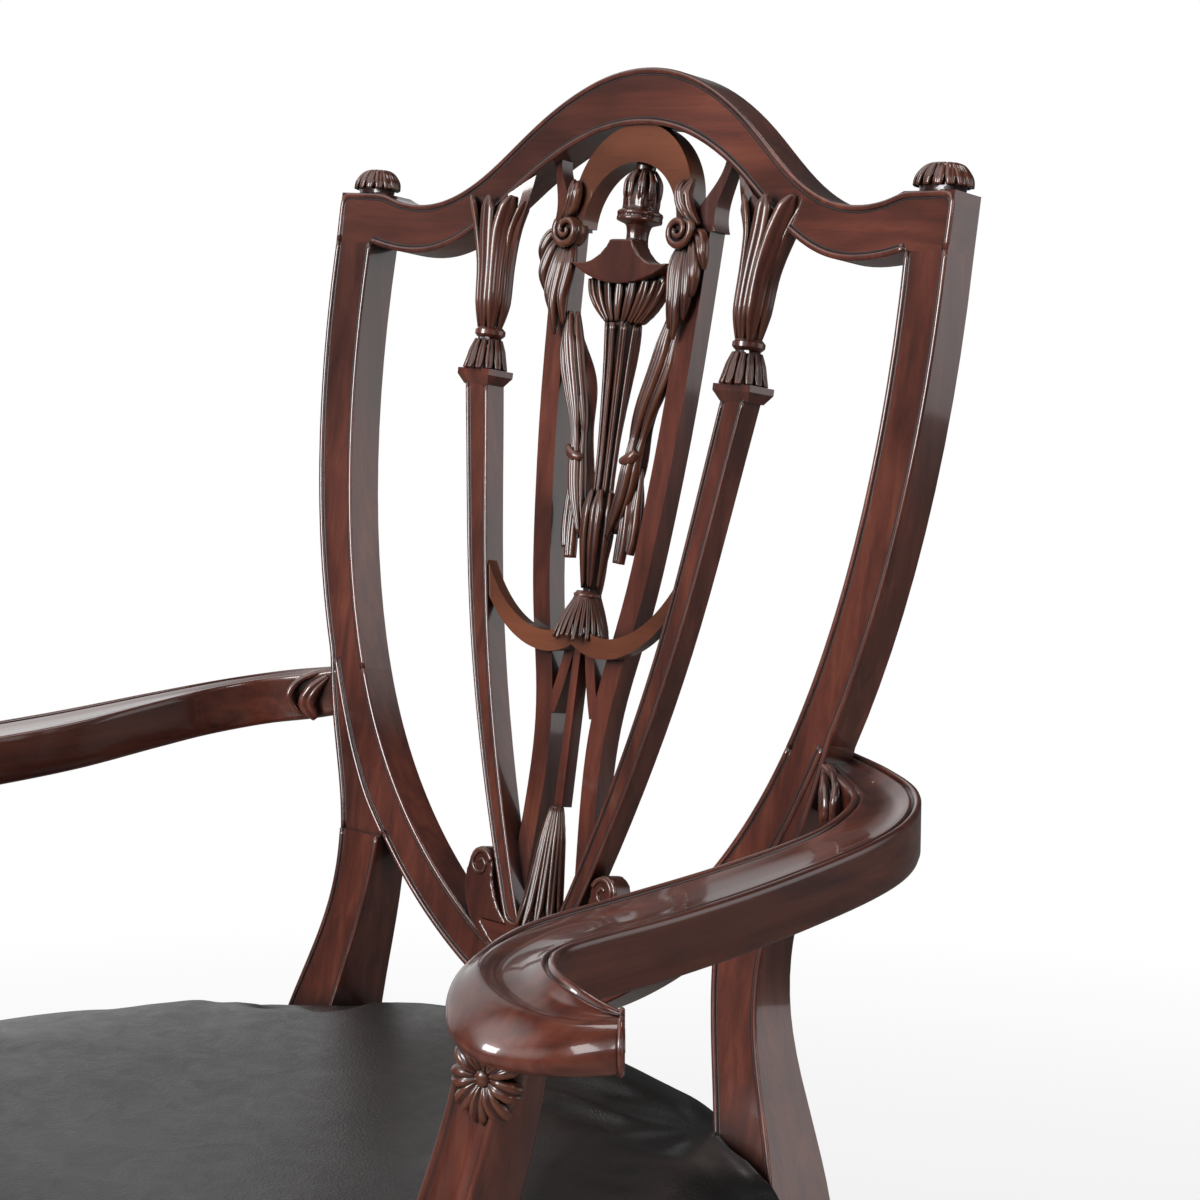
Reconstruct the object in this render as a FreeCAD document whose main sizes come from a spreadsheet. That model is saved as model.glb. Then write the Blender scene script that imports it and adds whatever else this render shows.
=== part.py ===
import FreeCAD, Part
import math
import os
from FreeCAD import Placement, Rotation, Vector

# Shield back armchair, in millimetres
# The chair faces -Y and stands on Z = 0, and left and right are the sitter's, so left is on +X
# The back is drawn flat, in its own plane, with u across, v up and depth behind the front face,
# and is then leaned back as a whole
SIDES = (1, -1)

doc = FreeCAD.newDocument("ShieldBackArmchair")
sheet = doc.addObject("Spreadsheet::Sheet", "Sizes")

SIZES = (
    # The back as a whole
    ("recline_angle", 10, "lean of the back, in degrees"),
    ("corner_height", 952, "height of the top corners of the shield above the floor"),
    ("half_width", 240, "half the width of the shield across its top corners"),
    ("shield_height", 470, "top corner to lower tip of the shield"),
    ("frame_thickness", 21, "front to back of the shield frame"),
    ("bow_radius", 2260, "hollow of the back in plan"),
    ("blank_depth", 420, "depth of the blanks that the flat outlines are cut from"),
    # The crest rail
    ("crest_rise", 72, "centre of the crest above the corners"),
    ("crest_hollow", 6.5, "lowest point of the crest's top edge below the corners"),
    ("crest_depth", 32, "top to underside of the crest at its centre"),
    ("hollow_depth", 29, "top to underside of the crest at its hollows"),
    ("ear_width", 36, "flat top of each corner block"),
    ("ear_depth", 30, "corner top down to the joint with the leg"),
    ("cap_height", 15, "carved cap above its corner block"),
    ("cap_margin", 1.2, "corner block left bare round the cap"),
    # The shield's sides and the posts
    ("stile_width", 30, "face of the stile at the top"),
    ("rail_width", 23, "face of the shield's lower rail at the tip"),
    ("junction_drop", 288, "inner end of the joint of post and lower rail"),
    ("crotch_drop", 385, "outer end of that joint"),
    ("departure_drop", 284, "where the post leaves the outer edge of the shield"),
    ("waist_drop", 402, "narrowest place of the posts"),
    ("waist_reach", 173, "outer edge of the post at its waist"),
    ("post_reach", 205, "outer edge of the post at the seat"),
    ("post_width", 42, "face of the post at the seat"),
    ("post_thickness", 22, "front to back of the post at its waist"),
    ("post_forward", 4, "how far the post comes forward of the shield at the seat"),
    ("leg_depth", 45, "front to back of the rear leg at the seat"),
    ("rear_foot_width", 28, "width of the rear foot"),
    ("rear_foot_depth", 33, "front to back of the rear foot"),
    ("leg_rake", 79, "how far the rear foot stands behind the seat joint"),
    ("tenon_thickness", 9, "thickness of the tenons"),
    ("tenon_length", 18, "length of the tenons"),
    # The pierced splat
    ("splat_front", -4, "front of the outer ribs behind the front of the frame"),
    ("splat_thickness", 13, "front to back of the outer ribs"),
    ("recess_front", 4, "front of the inner ribs behind the front of the frame"),
    ("recess_thickness", 12, "front to back of the inner ribs"),
    ("outer_rib_spread", 103, "centre of the outer rib at its abacus"),
    ("outer_rib_top_width", 18, "face of the outer rib under its abacus"),
    ("outer_rib_foot_width", 11, "face of the outer rib at its foot"),
    ("abacus_drop", 103, "top of the abacus below the corners"),
    ("abacus_thickness", 9, "height of the abacus"),
    ("abacus_width", 27, "width of the abacus"),
    ("husk_height", 19, "height of the carved husk above the abacus"),
    ("neck_radius", 9, "radius of the neck ring above the husk"),
    ("neck_height", 6, "height of the neck ring"),
    ("capital_width", 48, "leaf capital where it spreads under the crest"),
    ("reed_depth", 1.6, "depth of the carved reeds"),
    ("inner_rib_spread", 54, "centre of the inner rib at its head"),
    ("inner_rib_top_width", 15, "face of the inner rib at its head"),
    ("inner_rib_foot_width", 12, "face of the inner rib at its foot"),
    ("head_drop", 16, "foot of the trumpet head below the corners"),
    ("head_width", 22, "width of the trumpet head at its foot"),
    ("arch_radius", 46, "outer radius of the arch"),
    ("arch_opening", 37, "inner radius of the arch"),
    ("arch_drop", 21, "arch's crown to the top of its opening"),
    ("arch_front", 1, "front of the arch behind the front of the frame"),
    ("arch_thickness", 12, "front to back of the arch"),
    ("lid_reach", 39, "half the width of the urn's lid"),
    ("lid_drop", 38, "tips of the lid below the corners"),
    ("bowl_reach", 33, "half the width of the urn's bowl"),
    ("bowl_depth", 29, "height of the bowl"),
    ("finial_radius", 10.5, "radius of the fluted cup of the finial"),
    ("urn_axis", 9, "axis of the urn behind the front of the frame"),
    ("pedestal_width", 24, "pedestal of the urn at its top"),
    ("pedestal_foot_width", 11, "pedestal at the tie above the tassel"),
    ("tie_drop", 226, "tie of the tassel below the corners"),
    ("tassel_height", 26, "height of the tassel"),
    ("tassel_width", 34, "width of the tassel at its skirt"),
    ("swag_spring_drop", 200, "where the swag rail springs from the outer ribs"),
    ("swag_drop", 254, "lowest centre line of the swag rail"),
    ("swag_front", -3, "front of the swag rail behind the front of the frame"),
    ("swag_width", 13, "face of the swag rail at its lowest"),
    ("shoe_drop", 418, "top of the shoe that the ribs stand on"),
    ("shoe_reach", 46, "half the width of the shoe"),
    ("husk_drop", 346, "top of the wheat husk"),
    ("volute_reach", 50, "centre of the volute scroll"),
    ("volute_drop", 387, "centre of the volute scroll below the corners"),
    ("volute_radius", 10, "radius of the volute scroll"),
    # The seat
    ("seat_front", 538, "front of the leather seat in front of the back's plane"),
    ("seat_back", 57, "back of the seat frame in front of the back's plane"),
    ("seat_rear_reach", 207, "half the width of the seat frame at the back"),
    ("seat_front_reach", 272, "half the width of the seat frame at the front"),
    ("side_bulge", 15, "outward curve of the side rails"),
    ("front_bow", 32, "forward curve of the front rail"),
    ("rail_top", 438, "top of the seat rails above the floor"),
    ("rail_height", 65, "height of the seat rails"),
    ("rail_thickness", 24, "thickness of the seat rails"),
    ("corner_round", 16, "rounding of the seat's front corners"),
    ("deck_thickness", 6, "thickness of the plywood deck"),
    ("deck_margin", 16, "deck edge inside the outer face of the rails"),
    ("crown_height", 50, "top of the padding above the rails"),
    ("crown_reach", 130, "how far in from the sides the padding keeps rising"),
    ("crown_corner", 140, "how far from the posts the padding is drawn down"),
    ("leather_thickness", 2, "thickness of the leather cover"),
    ("dust_cover_thickness", 1, "thickness of the cloth under the frame"),
    ("block_leg", 62, "arm of each corner block"),
    ("block_height", 40, "height of the corner blocks"),
    ("soft_gap", 0.3, "clearance of soft parts round the posts"),
    # The front legs
    ("front_leg_width", 42, "front leg at the seat"),
    ("ankle_width", 25, "front leg above its spade foot"),
    ("spade_width", 35, "widest place of the spade foot"),
    ("spade_foot_width", 26, "bottom of the spade foot"),
    ("spade_height", 70, "height of the spade foot"),
    ("leg_setback", 5, "front leg behind the outer faces of the rails"),
    ("glide_thickness", 3, "height of the floor glides"),
    ("glide_radius", 9, "radius of the floor glides"),
    # The arms
    ("arm_spread", 300, "outer edge of the arm from the middle of the chair"),
    ("arm_reach", 404, "tip of the arm in front of the back's plane"),
    ("arm_rear_height", 669, "top of the arm at the back"),
    ("arm_front_height", 641, "top of the arm at the hand hold"),
    ("arm_thickness", 28, "thickness of the arm"),
    ("arm_root_drop", 288, "outer edge of the stile that the arm is fixed to"),
    ("dish_depth", 3.5, "depth of the dished elbow"),
    ("hold_reach", 345, "outer end of the hand hold from the middle of the chair"),
    ("hold_radius", 15, "half the thickness of the hand hold"),
    ("hold_drop", 13, "fall of the hand hold towards its outer end"),
    ("support_width", 28, "width of the arm support"),
    ("support_top_depth", 28, "front to back of the arm support under the arm"),
    ("support_foot_depth", 46, "front to back of the arm support at the rail"),
    ("support_setback", 402, "arm support in front of the back's plane"),
    ("support_lean", 17, "how far the support's head stands outside its foot"),
    # The fasteners
    ("screw_radius", 2.2, "shank of the wood screws"),
    ("screw_head_radius", 4.5, "head of the wood screws"),
    ("screw_head_height", 3, "height of the screw heads"),
    ("dowel_radius", 4, "dowels between arm and post"),
    ("dowel_length", 36, "length of those dowels"),
    ("support_screw_length", 44, "length of the screws that hold the arm support"),
    ("block_screw_length", 46, "length of the screws in the corner blocks"),
)

for row, (name, value, meaning) in enumerate(SIZES, 1):
    sheet.set(f"A{row}", meaning)
    sheet.set(f"B{row}", str(value))
    sheet.setAlias(f"B{row}", name)
doc.recompute()


def size(name):
    return float(sheet.get(name))


# Values that follow from the driving sizes
LEAN = math.radians(size("recline_angle"))
HALF = size("half_width")
SHIELD = size("shield_height")
THICK = size("frame_thickness")
BOW = size("bow_radius")
RAIL_TOP = size("rail_top")
RAIL_FOOT = RAIL_TOP - size("rail_height")
REAR_REACH = THICK * math.cos(LEAN) + size("crest_rise") * math.sin(LEAN)
BACK_Y = (size("seat_front") - REAR_REACH) / 2
BACK_PLACE = Placement(
    Vector(0, BACK_Y, size("corner_height")), Rotation(Vector(1, 0, 0), -size("recline_angle"))
)
FLAT_PLACE = Placement(Vector(0, BACK_Y, 0), Rotation())
NODES = []


# Drawing helpers


def line(start, end):
    return Part.LineSegment(Vector(*start, 0), Vector(*end, 0))


def arc(start, middle, end):
    return Part.Arc(Vector(*start, 0), Vector(*middle, 0), Vector(*end, 0))


def spline(points):
    curve = Part.BSplineCurve()
    curve.interpolate([Vector(*point, 0) for point in points])
    return curve


def polygon(points):
    return [line(a, b) for a, b in zip(points, points[1:] + points[:1])]


def start_of(curve):
    return curve.value(curve.FirstParameter)[:2]


def end_of(curve):
    return curve.value(curve.LastParameter)[:2]


def parallel(curve, first_width, last_width, steps=14):
    """Returns the curve beside this one, on the right of its direction, at a width that tapers."""
    points = []
    first, last = curve.FirstParameter, curve.LastParameter
    for step in range(steps + 1):
        share = step / steps
        at = first + (last - first) * share
        tangent = curve.tangent(at)[0]
        width = first_width + (last_width - first_width) * share
        points.append((curve.value(at).x + tangent.y * width, curve.value(at).y - tangent.x * width))
    return spline(points)


def crossing(curve, place, axis=1):
    """Returns the parameter where a curve passes a place across (axis 0) or up (axis 1)."""
    low, high = curve.FirstParameter, curve.LastParameter
    falling = curve.value(low)[axis] > curve.value(high)[axis]
    for _ in range(50):
        middle = (low + high) / 2
        if (curve.value(middle)[axis] > place) == falling:
            low = middle
        else:
            high = middle
    return low


def piece_of(curve, top, bottom):
    """Returns the stretch of a downward curve between two heights."""
    stretch = curve.copy()
    first = stretch.FirstParameter if top is None else crossing(curve, top)
    last = stretch.LastParameter if bottom is None else crossing(curve, bottom)
    stretch.segment(first, last)
    return stretch


def turned(curve):
    other = curve.copy()
    other.reverse()
    return other


def strip(left_edge, right_edge):
    """Returns the closed outline between two edges that run the same way."""
    return [
        left_edge,
        line(end_of(left_edge), end_of(right_edge)),
        turned(right_edge),
        line(start_of(right_edge), start_of(left_edge)),
    ]


def mirrored(edges, side):
    """Returns the edges as drawn, or turned over to the other side of the chair."""
    if side > 0:
        return edges
    turn = FreeCAD.Matrix()
    turn.A11 = -1
    flipped = []
    for edge in edges:
        other = edge.copy()
        other.transform(turn)
        flipped.append(other)
    return flipped


# Solid helpers


def new_body(name, place):
    owner = doc.addObject("PartDesign::Body", name)
    owner.Placement = place
    return owner


def sketch(owner, plane, edges, lift=0.0):
    profile = owner.newObject("Sketcher::SketchObject", f"{owner.Name}_outline")
    support = next(item for item in owner.Origin.OriginFeatures if item.Role == plane)
    profile.AttachmentSupport = (support, "")
    profile.MapMode = "FlatFace"
    profile.AttachmentOffset = Placement(Vector(0, 0, lift), Rotation())
    profile.addGeometry(edges, False)
    return profile


def pad(owner, profile, length, symmetric=False):
    block = owner.newObject("PartDesign::Pad", f"{owner.Name}_pad")
    block.Profile = profile
    block.setExpression("Length", length)
    if symmetric:
        block.SideType = "Symmetric"
    return block


def slab(name, edges, place, plane="XZ_Plane", length="Sizes.blank_depth"):
    """A flat blank, cut to one outline and as deep as the whole back needs."""
    owner = new_body(name, place)
    pad(owner, sketch(owner, plane, edges), length, symmetric=True)
    return owner


def plate(name, edges, bottom, length, place=FLAT_PLACE):
    """A level plate, from its underside up."""
    owner = new_body(name, place)
    pad(owner, sketch(owner, "XY_Plane", edges, bottom), length)
    return owner


def loft(owner, sections, plane="XY_Plane", ruled=False):
    """A loft through sections, each given as its place along the axis and its edges."""
    profiles = [sketch(owner, plane, edges, lift) for lift, edges in sections]
    feature = owner.newObject("PartDesign::AdditiveLoft", f"{owner.Name}_loft")
    feature.Profile = profiles[0]
    feature.Sections = profiles[1:]
    feature.Ruled = ruled
    return feature


def lofted(name, sections, place, plane="XY_Plane", ruled=False):
    owner = new_body(name, place)
    loft(owner, sections, plane, ruled)
    return owner


def turned_piece(name, profile, across, depth):
    """A turned part of the back: its profile is given as radius and height, from top to bottom."""
    place = BACK_PLACE.multiply(Placement(Vector(across, depth, 0), Rotation()))
    owner = new_body(name, place)
    edges = polygon([(0, profile[0][1]), *profile, (0, profile[-1][1])])
    turning = owner.newObject("PartDesign::Revolution", f"{name}_turning")
    outline = sketch(owner, "XZ_Plane", edges)
    turning.Profile = outline
    turning.ReferenceAxis = (outline, ["V_Axis"])
    turning.Angle = 360
    return owner


def box(name, low, high, place):
    solid = doc.addObject("Part::Box", name)
    solid.Length, solid.Width, solid.Height = (b - a for a, b in zip(low, high))
    solid.Placement = place.multiply(Placement(Vector(*low), Rotation()))
    return solid


def rod(name, radius, length, start, direction, place):
    solid = doc.addObject("Part::Cylinder", name)
    solid.Radius = radius
    solid.Height = length
    turn = Rotation(Vector(0, 0, 1), Vector(*direction))
    solid.Placement = place.multiply(Placement(Vector(*start), turn))
    return solid


def common(name, base, tool):
    solid = doc.addObject("Part::Common", name)
    solid.Base = base
    solid.Tool = tool
    return solid


def cut(name, base, *tools):
    for number, tool in enumerate(tools):
        solid = doc.addObject("Part::Cut", name if number == len(tools) - 1 else f"{name}_cut")
        solid.Base = base
        solid.Tool = tool
        base = solid
    return base


def fused(name, *pieces):
    solid = doc.addObject("Part::MultiFuse", name)
    solid.Shapes = list(pieces)
    return solid


def group(name, pieces):
    solid = doc.addObject("Part::Compound", name)
    solid.Links = list(pieces)
    return solid


def mirror(solid):
    """The same piece for the right side of the chair."""
    other = doc.addObject("Part::Mirroring", f"{solid.Name}_mirror")
    other.Source = solid
    other.Normal = (1, 0, 0)
    return other


def pair(label, solid):
    """Names a piece of the left side and its mirror image, and returns both."""
    other = mirror(solid)
    return node(f"{label}_left", solid), node(f"{label}_right", other)


def node(label, solid):
    """Names a finished piece, which is then written to a file of that name."""
    solid.Label = label
    NODES.append(solid)
    return solid


# Cross sections for lofts


def rectangle(across, depth, half_across, half_depth):
    return polygon([
        (across - half_across, depth - half_depth),
        (across + half_across, depth - half_depth),
        (across + half_across, depth + half_depth),
        (across - half_across, depth + half_depth),
    ])


def oval(across, depth, half_across, half_depth):
    """A rounded section of twelve sides."""
    return reeded(across, depth, half_across, half_depth, 6, 0)


def reeded(across, depth, half_across, half_depth, reeds, relief):
    """A section with carved reeds: its outline runs from ridge to valley and back."""
    points = []
    for step in range(2 * reeds):
        angle = math.pi * step / reeds
        inset = relief if step % 2 else 0
        points.append((
            across + (half_across - inset) * math.cos(angle),
            depth + (half_depth - inset) * math.sin(angle),
        ))
    return polygon(points)


# The hollow of the back


def bow_at(across, depth):
    """Depth of the bowed face at a place across the back."""
    return math.sqrt((BOW + depth) ** 2 - across ** 2) - BOW


def bow_band(name, front, thickness, bottom, top):
    """The bowed layer that a member of the back fills, from its front face to its rear face."""
    reach = HALF + size("stile_width")
    rear = front + thickness
    edges = [
        arc((-reach, bow_at(reach, front)), (0, front), (reach, bow_at(reach, front))),
        line((reach, bow_at(reach, front)), (reach, bow_at(reach, rear))),
        arc((reach, bow_at(reach, rear)), (0, rear), (-reach, bow_at(reach, rear))),
        line((-reach, bow_at(reach, rear)), (-reach, bow_at(reach, front))),
    ]
    owner = new_body(name, BACK_PLACE)
    block = owner.newObject("PartDesign::Pad", f"{name}_pad")
    block.Profile = sketch(owner, "XY_Plane", edges, bottom)
    block.Length = top - bottom
    return owner


LOWEST = -SHIELD - size("stile_width")
HIGHEST = size("crest_rise") + size("stile_width")
FRAME_BAND = bow_band("frame_layer", 0, THICK, LOWEST, HIGHEST)
RIB_BAND = bow_band("rib_layer", size("splat_front"), size("splat_thickness"), LOWEST, HIGHEST)
RECESS_BAND = bow_band(
    "recess_layer", size("recess_front"), size("recess_thickness"), LOWEST, HIGHEST
)
ARCH_BAND = bow_band("arch_layer", size("arch_front"), size("arch_thickness"), LOWEST, HIGHEST)
SWAG_BAND = bow_band(
    "swag_layer", size("swag_front"), size("recess_front") - size("swag_front"), LOWEST, HIGHEST
)
RIB_AXIS = size("splat_front") + size("splat_thickness") / 2
RECESS_AXIS = size("recess_front") + size("recess_thickness") / 2

# The outline of the shield, as shares of its half width and of its height

OUTER_SHAPE = (
    (1.0, size("ear_depth") / SHIELD), (0.997, 0.19), (0.968, 0.345), (0.888, 0.53),
    (0.732, 0.714), (0.542, 0.838), (0.28, 0.94), (0.0, 1.0),
)
OUTER_EDGE = spline([(HALF * across, -SHIELD * down) for across, down in OUTER_SHAPE])
INNER_EDGE = parallel(OUTER_EDGE, size("stile_width"), size("rail_width"))
INNER_EDGE.segment(INNER_EDGE.FirstParameter, crossing(INNER_EDGE, 0, axis=0))
INNER_TIP = end_of(INNER_EDGE)
CROTCH = OUTER_EDGE.value(crossing(OUTER_EDGE, -size("crotch_drop")))[:2]
JUNCTION = INNER_EDGE.value(crossing(INNER_EDGE, -size("junction_drop")))[:2]


def crest_edge(centre, hollow, end):
    """One half of an edge of the crest: a round top, a slope and a hollow towards the corner."""
    rise = centre - hollow
    bottom = HALF * 0.71
    shape = ((0.0, 1.0), (0.28, 0.87), (0.5, 0.585), (0.73, 0.2), (0.92, 0.02))
    points = [(bottom * across, hollow + rise * up) for across, up in shape]
    points.append((bottom + (end[0] - bottom) * 0.4, hollow + (end[1] - hollow) * 0.1))
    points.append(end)
    curve = Part.BSplineCurve()
    curve.interpolate(
        [Vector(*point, 0) for point in points],
        Tangents=[Vector(1, 0, 0)] + [Vector(1, 0, 0)] * (len(points) - 1),
        TangentFlags=[True] + [False] * (len(points) - 1),
    )
    return curve


CREST_TOP = crest_edge(size("crest_rise"), -size("crest_hollow"), (HALF - size("ear_width"), 0))
CREST_UNDER = crest_edge(
    size("crest_rise") - size("crest_depth"),
    -size("crest_hollow") - size("hollow_depth"),
    start_of(INNER_EDGE),
)


def above_crest():
    """Everything above the underside of the crest, which trims the pieces that end there."""
    edge = end_of(CREST_UNDER)
    top = 2 * size("crest_rise")
    corners = [line(edge, (edge[0], top)), line((edge[0], top), (0, top))]
    edges = []
    for side in SIDES:
        edges += mirrored([CREST_UNDER, *corners], side)
    return slab("above_crest", edges, BACK_PLACE)


def make_crest():
    edges = []
    for side in SIDES:
        ear = [
            line(end_of(CREST_TOP), (HALF, 0)),
            line((HALF, 0), start_of(OUTER_EDGE)),
            line(start_of(OUTER_EDGE), start_of(INNER_EDGE)),
        ]
        edges += mirrored([CREST_TOP, *ear, turned(CREST_UNDER)], side)
    return common("crest_blank", slab("crest_flat", edges, BACK_PLACE), FRAME_BAND)


def crest_tenon():
    """The tenon on top of the leg, inside the corner block."""
    across = (HALF - size("stile_width") / 2)
    half_across = size("stile_width") / 4
    depth = bow_at(across, THICK / 2)
    half_depth = size("tenon_thickness") / 2
    low = -size("ear_depth") - size("tenon_length") / 2
    high = -size("ear_depth") + size("tenon_length")
    return box(
        "crest_tenon",
        (across - half_across, depth - half_depth, low),
        (across + half_across, depth + half_depth, high),
        BACK_PLACE,
    )


def make_cap():
    """The carved cap on a corner block: a low domed cushion cut into leaves."""
    across = (HALF - size("ear_width") / 2)
    depth = bow_at(across, THICK / 2)
    half_across = size("ear_width") / 2 - size("cap_margin")
    half_depth = THICK / 2 - size("cap_margin")
    leaves = 8
    relief = size("reed_depth")
    height = size("cap_height")
    shape = ((0.0, 0.84, 0.0), (0.14, 0.84, 0.0), (0.42, 1.0, 1.0), (0.74, 0.84, 1.0), (1.0, 0.3, 0.4))
    sections = []
    for up, share, carved in shape:
        outline = reeded(
            across, depth, half_across * share, half_depth * share, leaves, relief * carved
        )
        sections.append((height * up, outline))
    return lofted("cap", sections, BACK_PLACE, ruled=True)


# The rear legs, which run on upwards as the posts and stiles


def lean_y(height, depth):
    """Place behind the back's origin of a point at a height above the floor and a depth."""
    return depth / math.cos(LEAN) + (height - size("corner_height")) * math.tan(LEAN)


def slope(height):
    """Place on the back's plane of a height above the floor."""
    return (height - size("corner_height")) / math.cos(LEAN)


SEAT_V = slope(RAIL_TOP)
FOOT_V = slope(0) - size("leg_depth")
POST_AXIS = size("post_reach") - size("post_width") / 2
POST_BOW = bow_at(POST_AXIS, 0)
LEG_FRONT = lean_y(RAIL_TOP, POST_BOW) - size("post_forward")
LEG_BACK = LEG_FRONT + size("leg_depth")


def post_outline():
    departure = OUTER_EDGE.value(crossing(OUTER_EDGE, -size("departure_drop")))[:2]
    waist = -size("waist_drop")
    reach, width = size("post_reach"), size("post_width")
    waist_reach = size("waist_reach")
    inner_reach = reach - width
    outer_side = spline([
        departure,
        (waist_reach + (departure[0] - waist_reach) * 0.42, waist + (departure[1] - waist) * 0.48),
        (waist_reach + (departure[0] - waist_reach) * 0.06, waist + (departure[1] - waist) * 0.16),
        (waist_reach + (reach - waist_reach) * 0.06, waist + (SEAT_V - waist) * 0.22),
        (waist_reach + (reach - waist_reach) * 0.62, waist + (SEAT_V - waist) * 0.68),
        (reach, SEAT_V),
    ])
    inner_side = spline([
        (inner_reach, SEAT_V),
        (CROTCH[0] + (inner_reach - CROTCH[0]) * 0.52, CROTCH[1] + (SEAT_V - CROTCH[1]) * 0.6),
        (CROTCH[0] + (inner_reach - CROTCH[0]) * 0.06, CROTCH[1] + (SEAT_V - CROTCH[1]) * 0.2),
        CROTCH,
    ])
    foot = POST_AXIS + size("rear_foot_width") / 2
    return [
        piece_of(OUTER_EDGE, None, -size("departure_drop")),
        outer_side,
        line((reach, SEAT_V), (foot, FOOT_V)),
        line((foot, FOOT_V), (foot - size("rear_foot_width"), FOOT_V)),
        line((foot - size("rear_foot_width"), FOOT_V), (inner_reach, SEAT_V)),
        inner_side,
        line(CROTCH, JUNCTION),
        turned(piece_of(INNER_EDGE, None, -size("junction_drop"))),
        line(start_of(INNER_EDGE), start_of(OUTER_EDGE)),
    ]


def leg_side_view():
    """The leg seen from the side, from the waist of the post to the foot."""
    top = size("corner_height") - size("crotch_drop") * math.cos(LEAN)
    middle = (top + RAIL_TOP) / 2
    rake, foot = size("leg_rake"), size("glide_thickness")
    front_top = lean_y(top, POST_BOW)
    knee = RAIL_FOOT * 0.5
    front = spline([
        (front_top, top),
        (lean_y(middle, POST_BOW) - size("post_forward") * 0.4, middle),
        (LEG_FRONT, RAIL_TOP),
    ])
    front_leg = spline([
        (LEG_FRONT, RAIL_FOOT),
        (LEG_FRONT + rake * 0.27, knee),
        (LEG_FRONT + rake, foot),
    ])
    foot_back = LEG_FRONT + rake + size("rear_foot_depth")
    back = spline([
        (foot_back, foot),
        (LEG_BACK + (foot_back - LEG_BACK) * 0.26, knee),
        (LEG_BACK + (foot_back - LEG_BACK) * 0.03, RAIL_FOOT),
        (LEG_BACK, RAIL_TOP),
        (front_top + size("post_thickness"), top),
    ])
    return [
        front,
        line((LEG_FRONT, RAIL_TOP), (LEG_FRONT, RAIL_FOOT)),
        front_leg,
        line((LEG_FRONT + rake, foot), (foot_back, foot)),
        back,
        line((front_top + size("post_thickness"), top), (front_top, top)),
    ]


def make_rear_leg():
    """One piece from the foot to the shoulder: leg, post and stile of the shield."""
    lower = slab(
        "leg_side", leg_side_view(), FLAT_PLACE, "YZ_Plane", "4 * Sizes.post_reach"
    )
    upper = bow_band("stile_layer", 0, THICK, SEAT_V, HIGHEST)
    flat = slab("leg_flat", post_outline(), BACK_PLACE)
    return common("leg_blank", flat, fused("leg_thickness", upper, lower))


def make_shield_rail():
    """The lower rail of the shield, from its joint on the post to the tip."""
    outer = piece_of(OUTER_EDGE, -size("crotch_drop"), None)
    inner = piece_of(INNER_EDGE, -size("junction_drop"), None)
    flat = slab("shield_rail_flat", strip(outer, inner), BACK_PLACE)
    return common("shield_rail", flat, FRAME_BAND)


def make_shoe(rails):
    """The block in the tip of the shield that the ribs stand on."""
    top, reach = -size("shoe_drop"), size("shoe_reach")
    edges = polygon([(-reach, top), (reach, top), (0, INNER_TIP[1] - size("rail_width") / 2)])
    blank = common("shoe_blank", slab("shoe_flat", edges, BACK_PLACE), RIB_BAND)
    return cut("shoe", blank, *rails)


# The pierced splat


def tapered(centre_line, first_width, last_width):
    left = parallel(centre_line, -first_width / 2, -last_width / 2)
    right = parallel(centre_line, first_width / 2, last_width / 2)
    return strip(left, right)


def outer_rib_line():
    spread = size("outer_rib_spread")
    top = -size("abacus_drop") - size("abacus_thickness") / 2
    fall = -size("shoe_drop") - top - size("outer_rib_foot_width") / 2
    shape = ((1.0, 0.0), (0.885, 0.21), (0.765, 0.41), (0.6, 0.61), (0.4, 0.8), (0.15, 1.0))
    return spline([(spread * across, top + fall * down) for across, down in shape])


def make_capital():
    """The carved head of an outer rib: leaf capital, neck ring, reeded husk and square abacus."""
    across = size("outer_rib_spread")
    depth = bow_at(across, RIB_AXIS)
    half_depth = size("splat_thickness") / 2
    neck, relief = size("neck_radius"), size("reed_depth")
    half_abacus = size("abacus_width") / 2
    abacus_top = -size("abacus_drop")
    abacus_foot = abacus_top - size("abacus_thickness")
    abacus = lofted("abacus", [
        (abacus_foot, rectangle(across, depth, half_abacus * 0.75, half_depth)),
        (abacus_foot + size("abacus_thickness") * 0.6,
         rectangle(across, depth, half_abacus, half_depth + 2 * relief)),
        (abacus_top, rectangle(across, depth, half_abacus, half_depth + 2 * relief)),
    ], BACK_PLACE, ruled=True)
    husk_top = abacus_top + size("husk_height")
    husk = lofted("husk", [
        (abacus_top, reeded(across, depth, half_abacus * 0.92, half_depth + relief, 8, relief)),
        (abacus_top + size("husk_height") * 0.5,
         reeded(across, depth, half_abacus * 0.8, half_depth + relief * 0.5, 8, relief)),
        (husk_top, reeded(across, depth, neck * 0.75, neck * 0.75, 8, relief * 0.5)),
    ], BACK_PLACE)
    ring_top = husk_top + size("neck_height")
    rim = size("neck_height") * 0.3
    ring = turned_piece("neck_ring", [
        (neck * 0.8, ring_top), (neck, ring_top - rim), (neck, husk_top + rim),
        (neck * 0.8, husk_top),
    ], across, depth)
    reach = crest_under(size("outer_rib_spread"))
    rise = reach - ring_top
    half_width = size("capital_width") / 2
    lean = size("capital_width") * 0.12
    leaf = lofted("leaf_capital", [
        (ring_top, reeded(across, depth, neck * 0.75, neck * 0.75, 6, relief * 0.5)),
        (ring_top + rise * 0.35, reeded(across, depth, neck * 1.15, half_depth, 6, relief)),
        (ring_top + rise * 0.7, reeded(
            across + lean * 0.3, depth, half_width * 0.6, half_depth, 6, relief)),
        (ring_top + rise, reeded(across + lean, depth, half_width, half_depth * 0.95, 6, relief)),
        (ring_top + rise * 1.3, reeded(
            across + lean * 1.6, depth, half_width * 1.35, half_depth * 0.9, 6, relief)),
    ], BACK_PLACE)
    return abacus, husk, ring, leaf


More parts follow.
